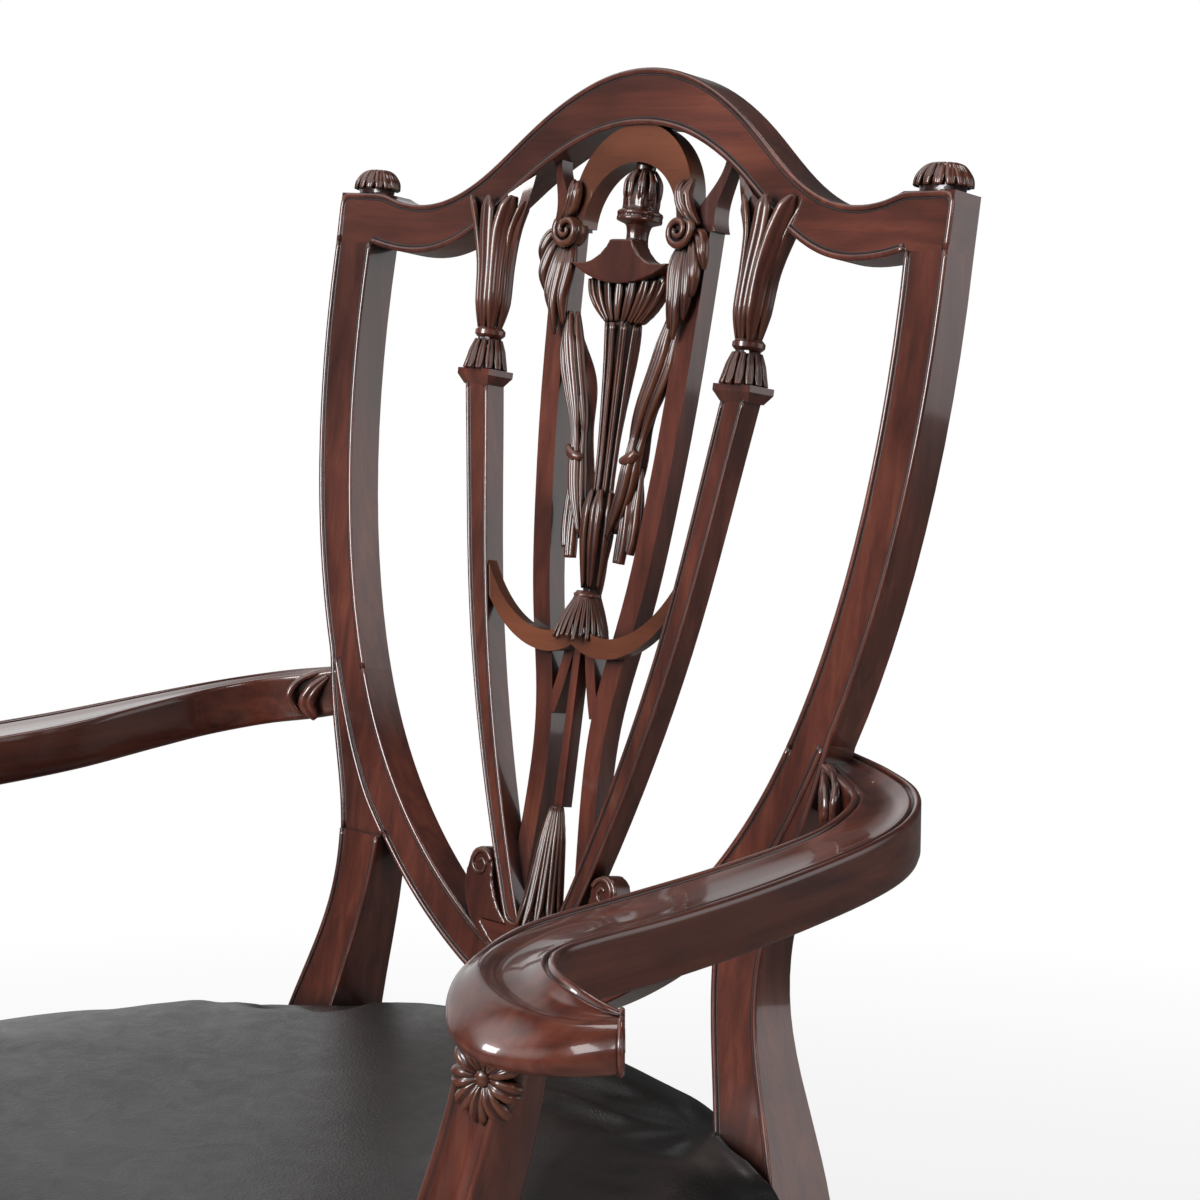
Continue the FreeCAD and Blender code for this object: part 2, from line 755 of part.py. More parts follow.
def crest_under(across):
    """Height of the crest's underside at a place across the back."""
    return CREST_UNDER.value(crossing(CREST_UNDER, across, axis=0)).y


def make_outer_rib(crest, shoe):
    outline = tapered(
        outer_rib_line(), size("outer_rib_top_width"), size("outer_rib_foot_width")
    )
    shaft = common(
        "outer_rib_shaft", slab("outer_rib_flat", outline, BACK_PLACE), RIB_BAND
    )
    blank = fused("outer_rib_blank", shaft, *make_capital())
    return cut("outer_rib", blank, crest, shoe)


def make_arch(crest):
    """The horseshoe arch that hangs from the middle of the crest."""
    radius, opening = size("arch_radius"), size("arch_opening")
    crown = size("crest_rise") - size("crest_depth")
    centre = crown - radius
    inner_centre = crown - size("arch_drop") - opening
    foot = inner_centre
    outer_foot = math.sqrt(radius ** 2 - (centre - foot) ** 2)
    edges = [
        arc((-outer_foot, foot), (0, crown + 1), (outer_foot, foot)),
        line((outer_foot, foot), (opening, foot)),
        arc((opening, foot), (0, inner_centre + opening), (-opening, foot)),
        line((-opening, foot), (-outer_foot, foot)),
    ]
    blank = common("arch_blank", slab("arch_flat", edges, BACK_PLACE), ARCH_BAND)
    return cut("arch", blank, crest)


def inner_rib_line():
    spread = size("inner_rib_spread")
    top, bottom = -size("head_drop"), -size("shoe_drop")
    shape = ((1.0, 0.0), (0.97, 0.11), (0.91, 0.26), (0.81, 0.4), (0.64, 0.55), (0.43, 0.68),
             (0.4, 0.79), (0.46, 0.91), (0.5, 1.0))
    return spline([(spread * across, top + (bottom - top) * down) for across, down in shape])


def make_inner_rib(crest, arch, outer_rib, shoe):
    """An inner rib with its trumpet head, recessed behind the swag."""
    outline = tapered(
        inner_rib_line(), size("inner_rib_top_width"), size("inner_rib_foot_width")
    )
    shaft = common(
        "inner_rib_shaft", slab("inner_rib_flat", outline, BACK_PLACE), RECESS_BAND
    )
    foot = -size("head_drop") - size("head_width") * 0.15
    across = size("inner_rib_spread")
    top = crest_under(size("inner_rib_spread")) + size("head_width") / 2
    depth = bow_at(across, RECESS_AXIS)
    half_depth = size("recess_thickness") / 2
    half_head = size("head_width") / 2
    outward = size("head_width") * 0.45
    head = lofted("trumpet_head", [
        (foot, rectangle(across, depth, half_head, half_depth)),
        (foot + size("head_width") * 0.2, rectangle(across, depth, half_head * 0.85, half_depth)),
        (foot + size("head_width") * 0.75,
         rectangle(across + outward * 0.4, depth, half_head * 0.5, half_depth * 0.9)),
        (top, rectangle(across + outward, depth, half_head * 0.45, half_depth * 0.9)),
    ], BACK_PLACE)
    blank = fused("inner_rib_blank", shaft, head)
    return cut("inner_rib", blank, crest, arch, outer_rib, shoe)


def make_swag(ribs):
    """The swag rail: two hanging curves that meet in a cusp under the tassel."""
    spread = size("outer_rib_spread")
    spring, lowest = -size("swag_spring_drop"), -size("swag_drop")
    fall = lowest - spring
    shape = ((0.86, -0.1), (0.7, 0.48), (0.49, 0.85), (0.27, 1.0), (0.0, 0.86))
    centre = spline([(spread * across, spring + fall * down) for across, down in shape])
    upper = parallel(centre, size("swag_width") * 0.25, size("swag_width") / 2)
    lower = parallel(centre, -size("swag_width") * 0.25, -size("swag_width") / 2)
    top, bottom = (0, end_of(upper)[1]), (0, end_of(lower)[1])
    edges = []
    for side in SIDES:
        half = [
            upper, line(end_of(upper), top), line(top, bottom), line(bottom, end_of(lower)),
            turned(lower), line(start_of(lower), start_of(upper)),
        ]
        edges.append(slab("swag_flat", mirrored(half, side), BACK_PLACE))
    blank = common("swag_blank", fused("swag_halves", *edges), SWAG_BAND)
    return cut("swag", blank, *ribs)


def make_scroll_leaf(others):
    """The scrolled leaf between a foot of the arch, the urn and the inner rib."""
    tip, drop = size("lid_reach"), size("lid_drop")
    outer = spline([
        (tip * 1.22, -drop * 0.12), (tip * 1.46, -drop * 0.7), (tip * 1.45, -drop * 1.4),
        (tip * 1.18, -drop * 2.1),
    ])
    inner = spline([
        (tip * 0.93, -drop * 0.2), (tip * 0.98, -drop * 0.62), (tip * 1.06, -drop * 1.2),
        (tip * 1.02, -drop * 1.9),
    ])
    flat = slab("leaf_flat", strip(inner, outer), BACK_PLACE)
    leaf = common("leaf_body", flat, SWAG_BAND)
    across = tip * 1.13
    eye = rod(
        "scroll_eye", tip * 0.17, size("recess_front") + 2 * size("reed_depth"),
        (across, bow_at(across, 0) - 2 * size("reed_depth"), -drop * 0.54), (0, 1, 0), BACK_PLACE,
    )
    return cut("scroll_leaf", fused("leaf_blank", leaf, eye), *others)


def make_urn(arch, leaves):
    """The urn: finial knob, fluted cup, rings, neck, crescent lid and gadrooned bowl."""
    axis, relief = size("urn_axis"), size("reed_depth")
    cup = size("finial_radius")
    top = size("crest_rise") - size("crest_depth") - size("arch_drop")
    drop = size("lid_drop")
    height = top + drop * 0.6
    knob = top + cup * 0.25
    ring_at = top - height * 0.62
    parts = [
        lofted("finial_cup", [
            (ring_at, reeded(0, axis, cup, cup, 8, relief)),
            (ring_at + height * 0.25, reeded(0, axis, cup * 0.98, cup * 0.98, 8, relief)),
            (ring_at + height * 0.45, reeded(0, axis, cup * 0.6, cup * 0.6, 8, relief * 0.6)),
        ], BACK_PLACE),
        turned_piece("finial_knob", [
            (cup * 0.3, knob), (cup * 0.55, knob - cup * 0.3), (cup * 0.55, knob - cup * 0.6),
            (cup * 0.35, ring_at + height * 0.42),
        ], 0, axis),
        turned_piece("finial_rings", [
            (cup * 0.95, ring_at), (cup * 1.25, ring_at - height * 0.04),
            (cup * 1.25, ring_at - height * 0.08), (cup, ring_at - height * 0.1),
            (cup * 1.25, ring_at - height * 0.12), (cup * 1.25, ring_at - height * 0.16),
            (cup * 0.8, ring_at - height * 0.2),
        ], 0, axis),
        lofted("urn_neck", [
            (-drop * 1.05, oval(0, axis, cup * 1.7, cup * 0.8)),
            (-drop * 0.82, oval(0, axis, cup * 0.85, cup * 0.7)),
            (-drop * 0.62, oval(0, axis, cup * 0.62, cup * 0.62)),
            (ring_at - height * 0.2, oval(0, axis, cup * 0.75, cup * 0.75)),
        ], BACK_PLACE),
    ]
    reach, bowl = size("lid_reach"), size("bowl_reach")
    lid_edges = [
        spline([(-reach, -drop), (-reach * 0.45, -drop * 0.92), (-cup * 0.8, -drop * 0.66)]),
        line((-cup * 0.8, -drop * 0.66), (cup * 0.8, -drop * 0.66)),
        spline([(cup * 0.8, -drop * 0.66), (reach * 0.45, -drop * 0.92), (reach, -drop)]),
        arc((reach, -drop), (0, -drop * 1.32), (-reach, -drop)),
    ]
    parts.append(common("lid", slab("lid_flat", lid_edges, BACK_PLACE), RIB_BAND))
    deep = size("bowl_depth")
    bowl_top = -drop * 1.12
    half_depth = size("splat_thickness") / 2 + relief
    parts.append(lofted("bowl", [
        (bowl_top, reeded(0, axis, bowl, half_depth, 12, relief)),
        (bowl_top - deep * 0.4, reeded(0, axis, bowl * 0.93, half_depth, 12, relief)),
        (bowl_top - deep * 0.8, reeded(0, axis, bowl * 0.66, half_depth * 0.85, 12, relief)),
        (bowl_top - deep, reeded(0, axis, bowl * 0.42, half_depth * 0.7, 12, relief * 0.6)),
    ], BACK_PLACE))
    return cut("urn", fused("urn_blank", *parts), arch, *leaves)


def make_pedestal(urn):
    """The reeded pedestal of the urn, down to the tie of the tassel."""
    axis, relief = size("urn_axis"), size("reed_depth")
    top = -size("lid_drop") * 1.12 - size("bowl_depth") * 0.9
    bottom = -size("tie_drop")
    half = size("pedestal_width") / 2
    foot = size("pedestal_foot_width") / 2
    fall = bottom - top
    reeds = 5
    blank = lofted("pedestal_blank", [
        (bottom, reeded(0, axis, foot, foot, reeds, relief * 0.5)),
        (top + fall * 0.86, reeded(0, axis, foot * 1.5, foot * 1.2, reeds, relief)),
        (top + fall * 0.68, reeded(0, axis, foot * 1.15, foot, reeds, relief * 0.8)),
        (top + fall * 0.35, reeded(0, axis, half * 0.65, foot * 1.15, reeds, relief)),
        (top, reeded(0, axis, half, foot * 1.5, reeds, relief)),
    ], BACK_PLACE)
    return cut("pedestal", blank, urn)


def make_drapery(others):
    """The cloth that hangs from the scrolled leaf to the pedestal, with its loose end."""
    start, end = -size("lid_drop") * 1.85, -size("tie_drop") * 0.84
    fall = end - start
    tip = size("lid_reach")
    axis = size("urn_axis") + size("reed_depth")
    folds = 4
    crease = size("reed_depth")
    shape = (
        (0.0, 1.12, 0.13), (0.14, 0.96, 0.2), (0.32, 0.7, 0.22), (0.5, 0.6, 0.16),
        (0.64, 0.56, 0.19), (0.82, 0.42, 0.17), (1.0, 0.28, 0.12),
    )
    hanging = (
        (0.66, 0.5, 0.12), (0.8, 0.57, 0.18), (0.94, 0.58, 0.2), (1.04, 0.56, 0.14),
    )
    pieces = []
    for name, stations in (("fold", shape), ("loose_end", hanging)):
        sections = [
            (start + fall * down,
             reeded(tip * across, axis, tip * half, tip * half * 0.85, folds, crease))
            for down, across, half in reversed(stations)
        ]
        pieces.append(lofted(f"drapery_{name}", sections, BACK_PLACE))
    return cut("drapery", fused("drapery_blank", *pieces), *others)


def make_tassel(pedestal, swag):
    axis, relief = size("urn_axis") * 0.6, size("reed_depth")
    top = -size("tie_drop") + size("tassel_height") * 0.1
    half = size("tassel_width") / 2
    height = size("tassel_height")
    blank = lofted("tassel_blank", [
        (top - height, reeded(0, axis, half, half * 0.75, 9, relief)),
        (top - height * 0.7, reeded(0, axis, half * 0.85, half * 0.72, 9, relief)),
        (top - height * 0.3, reeded(0, axis, half * 0.55, half * 0.6, 9, relief * 0.6)),
        (top, reeded(0, axis, half * 0.35, half * 0.45, 9, relief * 0.4)),
    ], BACK_PLACE)
    return cut("tassel", blank, pedestal, swag)


def make_strand(others):
    """The short strand from the cusp of the swag to the inner rib."""
    top = -size("swag_drop") * 0.985
    fall = size("swag_drop") * 0.17
    across = size("inner_rib_spread")
    centre = spline([
        (across * 0.13, top), (across * 0.2, top - fall * 0.45), (across * 0.33, top - fall),
    ])
    width = size("inner_rib_foot_width") * 0.6
    flat = slab("strand_flat", tapered(centre, width, width), BACK_PLACE)
    return cut("strand", common("strand_blank", flat, RECESS_BAND), *others)


def make_reed(others):
    """The thin upright reed between the strands."""
    half = size("inner_rib_foot_width") * 0.22
    axis = (RIB_AXIS + RECESS_AXIS) / 2
    top = -size("swag_drop") * 0.985
    bottom = -size("husk_drop")
    blank = lofted("reed_blank", [
        (bottom, rectangle(0, axis, half * 1.2, half * 1.5)),
        (top, rectangle(0, axis, half, half * 1.5)),
    ], BACK_PLACE, ruled=True)
    return cut("reed", blank, *others)


def make_wheat_husk(others):
    """The husk of long leaves that opens downwards onto the shoe."""
    axis, relief = RIB_AXIS, size("reed_depth")
    top, bottom = -size("husk_drop"), -size("shoe_drop")
    fall = bottom - top
    half = size("inner_rib_foot_width")
    leaves = 6
    blank = lofted("wheat_husk_blank", [
        (bottom, reeded(0, axis, half * 1.0, half * 0.5, leaves, relief)),
        (top + fall * 0.72, reeded(0, axis, half * 0.95, half * 0.62, leaves, relief)),
        (top + fall * 0.35, reeded(0, axis, half * 0.72, half * 0.6, leaves, relief)),
        (top, reeded(0, axis, half * 0.3, half * 0.35, leaves, relief * 0.5)),
    ], BACK_PLACE)
    return cut("wheat_husk", blank, *others)


def make_volute(others):
    """The scrolled bracket between the lower rail and the outer rib."""
    across, down, radius = size("volute_reach"), -size("volute_drop"), size("volute_radius")
    foot = -size("shoe_drop")
    outer = spline([
        (across + radius, down), (across + radius * 1.1, down - radius * 1.6),
        (across + radius * 0.2, down - radius * 3.4),
        (across * 0.35, foot - radius * 1.2),
    ])
    head = arc((across - radius, down), (across, down + radius), (across + radius, down))
    inner = spline([
        (across - radius, down), (across - radius * 1.1, down - radius * 0.9),
        (across - radius * 1.9, down - radius * 2.3), (across * 0.2, foot - radius * 0.4),
    ])
    edges = [head, outer, line(end_of(outer), end_of(inner)), turned(inner)]
    flat = slab("volute_flat", edges, BACK_PLACE)
    return cut("volute", common("volute_blank", flat, RIB_BAND), *others)


# The seat


def seat_outline(inset, corner, rear_inset=None, rear_corner=None):
    """The seat in plan, some way inside the rails' outer faces, with its corners rounded."""
    rear = -size("seat_back") - (inset if rear_inset is None else rear_inset)
    turn = rear_corner or corner
    front = -size("seat_front") + size("leather_thickness") + size("front_bow") + inset
    wide, narrow = size("seat_front_reach") - inset, size("seat_rear_reach") - inset
    bow, bulge = size("front_bow"), size("side_bulge")
    edges = []
    for side in (1, -1):
        rear_point = (side * (narrow - turn), rear)
        side_start = (side * (narrow + (wide - narrow) * turn / (rear - front)), rear - turn)
        side_end = (side * (wide - (wide - narrow) * corner / (rear - front)), front + corner)
        middle = ((side_start[0] + side_end[0]) / 2 + side * bulge, (rear + front) / 2)
        front_point = (side * (wide - corner), front - bow * 0.12)
        blend = 0.42
        rear_mid = tuple(
            (a + b) / 2 * (1 - blend) + c * blend
            for a, b, c in zip(rear_point, side_start, (side * narrow, rear))
        )
        front_mid = tuple(
            (a + b) / 2 * (1 - blend) + c * blend
            for a, b, c in zip(side_end, front_point, (side * wide, front))
        )
        ring = [
            arc(rear_point, rear_mid, side_start),
            arc(side_start, middle, side_end),
            arc(side_end, front_mid, front_point),
        ]
        edges.append((rear_point, front_point, ring))
    (left_rear, left_front, left_ring), (right_rear, right_front, right_ring) = edges
    front_arc = arc(left_front, (0, front - bow), right_front)
    return [line(right_rear, left_rear), *left_ring, front_arc, *reversed(right_ring)]


def crown_sections(grow):
    """The padded crown: full at the sides and front, and drawn down in front of the posts."""
    reach, fall = size("crown_reach"), size("crown_corner")
    shape = (
        (0.0, 0.0, 0.0), (0.18, 0.006, 0.2), (0.38, 0.024, 0.46), (0.55, 0.06, 0.67),
        (0.68, 0.12, 0.84), (0.78, 0.21, 0.95), (0.86, 0.35, 1.0), (0.92, 0.51, 0.95),
        (0.965, 0.73, 0.72), (1.0, 1.0, 0.42),
    )
    sections = []
    for up, across, drawn in shape:
        height = RAIL_TOP + (size("crown_height") + grow) * up
        rounding = size("corner_round") * (1 + 2 * across ** 0.5)
        turn = size("corner_round") + (fall - size("corner_round")) * drawn
        outline = seat_outline(
            reach * across - grow, rounding, reach * across * 0.3 - grow, turn
        )
        sections.append((height, outline))
    return sections


def make_crown(name, grow, skirt_foot):
    owner = new_body(name, FLAT_PLACE)
    skirt = owner.newObject("PartDesign::Pad", f"{name}_skirt")
    skirt.Profile = sketch(
        owner, "XY_Plane", seat_outline(-grow, size("corner_round"), -grow), skirt_foot
    )
    skirt.Length = RAIL_TOP - skirt_foot
    loft(owner, crown_sections(grow), ruled=True)
    return owner


# The seat frame

FRONT_LEG_X = size("seat_front_reach") - size("leg_setback") - size("front_leg_width") / 2
FRONT_LINE = -size("seat_front") + size("leather_thickness") + size("front_bow")
FRONT_LEG_Y = FRONT_LINE + size("leg_setback") + size("front_leg_width") / 2
REAR_LEG_Y = (LEG_FRONT + LEG_BACK) / 2
HALF_FRONT_LEG = size("front_leg_width") / 2
HALF_TENON = size("tenon_thickness") / 2
TENON_LOW = RAIL_FOOT + size("rail_height") * 0.2
TENON_HIGH = RAIL_TOP - size("rail_height") * 0.2


def make_front_leg(seat_plan):
    """A tapered leg with a spade foot; its head fills the corner of the seat frame."""
    foot, spade = size("glide_thickness"), size("spade_height")
    widths = (
        (foot, size("spade_foot_width")),
        (foot + spade * 0.55, size("spade_width")),
        (foot + spade * 0.85, size("ankle_width")),
        (foot + spade, size("ankle_width")),
        (RAIL_FOOT, size("front_leg_width")),
    )
    across = FRONT_LEG_X
    shank = lofted("front_shank", [
        (height, rectangle(across, FRONT_LEG_Y, width / 2, width / 2)) for height, width in widths
    ], FLAT_PLACE, ruled=True)
    inner = (FRONT_LEG_X - HALF_FRONT_LEG)
    outer = size("seat_front_reach") * 1.1
    head = box(
        "front_head",
        (min(inner, outer), FRONT_LINE * 1.1, RAIL_FOOT),
        (max(inner, outer), FRONT_LEG_Y + HALF_FRONT_LEG, RAIL_TOP),
        FLAT_PLACE,
    )
    return fused("front_leg_blank", shank, common("front_head_cut", head, seat_plan))


def tenon(low, high):
    (x1, y1), (x2, y2) = low, high
    return box(
        "tenon", (min(x1, x2), min(y1, y2), TENON_LOW), (max(x1, x2), max(y1, y2), TENON_HIGH),
        FLAT_PLACE,
    )


def make_side_rail(ring):
    length = size("tenon_length")
    front, rear = FRONT_LEG_Y + HALF_FRONT_LEG, LEG_FRONT
    far = size("seat_front_reach") * 1.1
    near = size("seat_rear_reach") * 0.7
    region = box(
        "side_region", (min(near, far), front, RAIL_FOOT),
        (max(near, far), rear, RAIL_TOP), FLAT_PLACE,
    )
    rear_across = (size("post_reach") - HALF_TENON * 2.2)
    front_across = (size("seat_front_reach") - size("rail_thickness") * 0.62)
    return fused(
        "side_rail", common("side_rail_body", ring, region),
        tenon((rear_across - HALF_TENON, rear - 1), (rear_across + HALF_TENON, rear + length)),
        tenon((front_across - HALF_TENON, front + 1), (front_across + HALF_TENON, front - length)),
    )


def make_front_rail(ring):
    inner = FRONT_LEG_X - HALF_FRONT_LEG
    length = size("tenon_length")
    centre = FRONT_LINE + size("rail_thickness") * 0.55
    region = box(
        "front_region", (-inner, FRONT_LINE * 1.1, RAIL_FOOT),
        (inner, FRONT_LEG_Y + HALF_FRONT_LEG, RAIL_TOP), FLAT_PLACE,
    )
    tenons = [
        tenon((side * (inner - 1), centre - HALF_TENON),
              (side * (inner + length), centre + HALF_TENON))
        for side in SIDES
    ]
    return fused("front_rail", common("front_rail_body", ring, region), *tenons)


def make_rear_rail(legs):
    inner = size("post_reach") - size("post_width")
    length = size("tenon_length")
    rear = -size("seat_back")
    centre = rear - size("rail_thickness") / 2
    body = box(
        "rear_rail_body", (-inner - 1, rear - size("rail_thickness"), RAIL_FOOT),
        (inner + 1, rear, RAIL_TOP), FLAT_PLACE,
    )
    shouldered = cut("rear_rail_shoulders", body, *legs)
    tenons = [
        tenon((side * (inner - 2), centre - HALF_TENON),
              (side * (inner + length), centre + HALF_TENON))
        for side in SIDES
    ]
    return fused("rear_rail", shouldered, *tenons)


def corner_place(front):
    """Returns the middle of a leg in plan and the direction that its corner block faces."""
    if front:
        return (FRONT_LEG_X, FRONT_LEG_Y), (1, -1)
    return (POST_AXIS, REAR_LEG_Y), (1, 1)


def make_corner_block(front, hollow):
    (x, y), (dx, dy) = corner_place(front)
    near = size("block_leg") * 0.5
    far = size("block_leg")
    wide = size("block_leg") * 1.5
    points = [
        (x - dx * near + dy * wide, y - dy * near - dx * wide),
        (x - dx * near - dy * wide, y - dy * near + dx * wide),
        (x + dx * far - dy * wide, y + dy * far + dx * wide),
        (x + dx * far + dy * wide, y + dy * far - dx * wide),
    ]
    bottom = RAIL_TOP - size("rail_thickness") / 4 - size("block_height")
    wedge = plate("block_wedge", polygon(points), bottom, "Sizes.block_height")
    return common("block", wedge, hollow)


def make_corner_screw(front):
    (x, y), (dx, dy) = corner_place(front)
    near = size("block_leg") * 0.5
    head = size("screw_head_height")
    height = (RAIL_TOP + RAIL_FOOT) / 2
    reach = head / math.sqrt(2)
    start = (x - dx * near, y - dy * near, height)
    head_start = (start[0] - dx * reach, start[1] - dy * reach, height)
    return fused(
        "corner_screw",
        rod("shank", size("screw_radius"), size("block_screw_length"), start, (dx, dy, 0),
            FLAT_PLACE),
        rod("head", size("screw_head_radius"), head, head_start, (dx, dy, 0), FLAT_PLACE),
    )


# The arms

ROOT_HEIGHT = size("arm_rear_height")
HOLD_HEIGHT = size("arm_front_height")


def arm_top(share):
    """Height of the arm's top edge at a share of its run from the back to the hand hold."""
    return HOLD_HEIGHT + (ROOT_HEIGHT - HOLD_HEIGHT) * (1 - share) ** 2.6


def make_arm(leg):
    spread, reach = size("arm_spread"), size("arm_reach")
    thick = size("arm_thickness")
    outer = spline([
        (spread * 0.63, -reach * 0.078), (spread * 0.74, -reach * 0.086),
        (spread * 0.845, -reach * 0.124), (spread * 0.92, -reach * 0.2),
        (spread * 0.96, -reach * 0.31), (spread * 0.985, -reach * 0.49),
        (spread, -reach * 0.7), (spread * 1.035, -reach * 0.88),
    ])
    inner = spline([
        (spread * 0.63, -reach * 0.15), (spread * 0.71, -reach * 0.165),
        (spread * 0.79, -reach * 0.205), (spread * 0.84, -reach * 0.285),
        (spread * 0.853, -reach * 0.42), (spread * 0.848, -reach * 0.6),
        (spread * 0.855, -reach * 0.77), (spread * 0.9, -reach * 0.9),
        (spread * 0.985, -reach * 0.985),
    ])
    plan = new_body("arm_plan", FLAT_PLACE)
    block = plan.newObject("PartDesign::Pad", "arm_plan_pad")
    block.Profile = sketch(
        plan, "XY_Plane", strip(outer, inner), HOLD_HEIGHT - 2 * thick
    )
    block.Length = 4 * thick
    top = spline([(-reach * 1.1 * share, arm_top(share)) for share in (0, 0.1, 0.25, 0.5, 0.8, 1)])
    depths = (
        (0, 1), (0.1, 1), (0.25, 1), (0.5, 1), (0.72, 0.98), (0.83, 0.82), (0.92, 0.62), (1, 0.55),
    )
    under = spline([
        (-reach * 1.1 * share, arm_top(share) - thick * depth) for share, depth in depths
    ])
    profile = slab(
        "arm_side", strip(top, under), FLAT_PLACE, "YZ_Plane", "3 * Sizes.hold_reach"
    )
    body = common("arm_body", plan, profile)
    radius, hold = size("hold_radius"), size("hold_reach")
    drop = size("hold_drop")
    start = spread * 0.957
    shape = (
        (0.0, -reach * 0.93, 0.0, 1.0, 0.85), (0.3, -reach * 0.935, 0.1, 1.3, 1.0),
        (0.7, -reach * 0.915, 0.55, 1.3, 0.95), (1.0, -reach * 0.87, 1.0, 1.2, 0.95),
        (1.3, -reach * 0.82, 1.2, 1.2, 0.95),
    )
    sections = []
    for share, place, fall, long, tall in shape:
        across = start + (hold - start) * share
        height = HOLD_HEIGHT - radius - drop * fall
        sections.append((across, oval(place, height, radius * long, radius * tall)))
    blank = lofted("hand_hold", sections, FLAT_PLACE, "YZ_Plane")
    end_place = Placement(
        Vector(hold - radius / 2, -reach * 0.87 + radius / 2, 0), Rotation(Vector(0, 0, 1), 38)
    )
    end = box(
        "hold_end", (0, -3 * thick, HOLD_HEIGHT - 3 * thick), (3 * thick, 3 * thick, 2 * ROOT_HEIGHT),
        FLAT_PLACE.multiply(end_place),
    )
    roll = cut("hand_hold_trimmed", blank, end)
    dish = doc.addObject("Part::Ellipsoid", "elbow_dish")
    dish.Radius1 = size("dish_depth")
    dish.Radius2 = thick * 1.3
    dish.Radius3 = thick * 0.45
    dish.Placement = FLAT_PLACE.multiply(Placement(
        Vector(spread * 0.87, -reach * 0.2, arm_top(0.18) + 0.5),
        Rotation(Vector(0, 0, 1), 50),
    ))
    return cut("arm", fused("arm_blank", body, roll), dish, leg)


def make_support(grow=0.0):
    """The arm support, swept from the side rail outwards and up to the hand hold."""
    foot, top = size("support_foot_depth") / 2, size("support_top_depth") / 2
    width = size("support_width") / 2
    lean, back = size("support_lean"), size("support_setback")
    across = size("arm_spread") - lean
    base, head = RAIL_FOOT + size("rail_height") * 0.3, HOLD_HEIGHT - size("arm_thickness") / 2
    shape = (
        (0.0, 0.0, 0.99, 1.15, foot * 0.9), (0.08, 0.0, 1.0, 1.25, foot),
        (0.24, 0.0, 1.0, 1.25, foot), (0.42, 0.1, 0.985, 1.2, foot * 0.86),
        (0.6, 0.4, 0.96, 1.15, foot * 0.74), (0.76, 0.85, 0.943, 1.06, foot * 0.66),
        (0.9, 1.25, 0.935, 1.0, top), (1.0, 1.3, 0.935, 1.0, top),
    )
    sections = []
    for up, out, ahead, wide, deep in shape:
        outline = chamfered(across + lean * out, -back * ahead, width * wide + grow, deep + grow)
        sections.append((base + (head - base) * up, outline))
    return lofted("support_blank", sections, FLAT_PLACE)


def chamfered(across, depth, half_across, half_depth):
    bevel = min(half_across, half_depth) * 0.3
    points = []
    for sx, sy, first in ((1, -1, False), (1, 1, True), (-1, 1, False), (-1, -1, True)):
        near = (across + sx * (half_across - bevel), depth + sy * half_depth)
        far = (across + sx * half_across, depth + sy * (half_depth - bevel))
        points += [far, near] if first else [near, far]
    return polygon(points)


def support_screws():
    inner = (size("arm_spread") - size("support_lean") - size("support_width") * 1.28)
    screws = []
    for share in (0.42, 0.8):
        height = RAIL_FOOT + size("rail_height") * share
        start = (inner, -size("support_setback"), height)
        screws.append(fused(
            "support_screw",
            rod("shank", size("screw_radius"), size("support_screw_length"), start, (1, 0, 0),
                FLAT_PLACE),
            rod("head", size("screw_head_radius"), size("screw_head_height"), start, (1, 0, 0),
                FLAT_PLACE),
        ))
    return screws


def arm_dowels():
    start = (size("post_reach") - size("dowel_length") * 0.45)
    dowels = []
    for share in (0.44, 0.8):
        height = ROOT_HEIGHT - size("arm_thickness") * share - 3
        place = lean_y(height, POST_BOW + THICK / 2)
        dowels.append(rod(
            "arm_dowel", size("dowel_radius"), size("dowel_length"), (start, place, height),
            (1, 0, 0), FLAT_PLACE,
        ))
    return dowels


# Putting the chair together: each piece is cut to fit the ones it is joined to

crest_blank = make_crest()
leg_blank = make_rear_leg()
leg_blanks = (leg_blank, mirror(leg_blank))
shoulder = crest_tenon()
dowels = arm_dowels()
crest = node("crest_rail", cut("crest", crest_blank, shoulder, mirror(shoulder)))
pair("corner_cap", make_cap())
shield_rails = pair("shield_rail", make_shield_rail())
shoe = node("splat_shoe", make_shoe(shield_rails))

# The pierced splat
trim = above_crest()
arch = node("splat_arch", make_arch(trim))
outer_ribs = pair("outer_rib", make_outer_rib(trim, shoe))
inner_ribs = pair("inner_rib", make_inner_rib(trim, arch, outer_ribs[0], shoe))
leaves = pair("scroll_leaf", make_scroll_leaf([arch, inner_ribs[0]]))
urn = node("splat_urn", make_urn(arch, leaves))
pedestal = node("urn_pedestal", make_pedestal(urn))
swag = node("swag_rail", make_swag(outer_ribs))
tassel = node("tassel", make_tassel(pedestal, swag))
pair("drapery", make_drapery([pedestal, urn, leaves[0], inner_ribs[0], swag]))
strand = make_strand([inner_ribs[0], swag])
husk = node("wheat_husk", make_wheat_husk([*inner_ribs, *outer_ribs, shoe]))
strands = [strand, mirror(strand)]
node("centre_reeds", group("reeds", [make_reed([*strands, swag, husk]), *strands]))
pair("volute", make_volute([*shield_rails, outer_ribs[0], inner_ribs[0], shoe]))

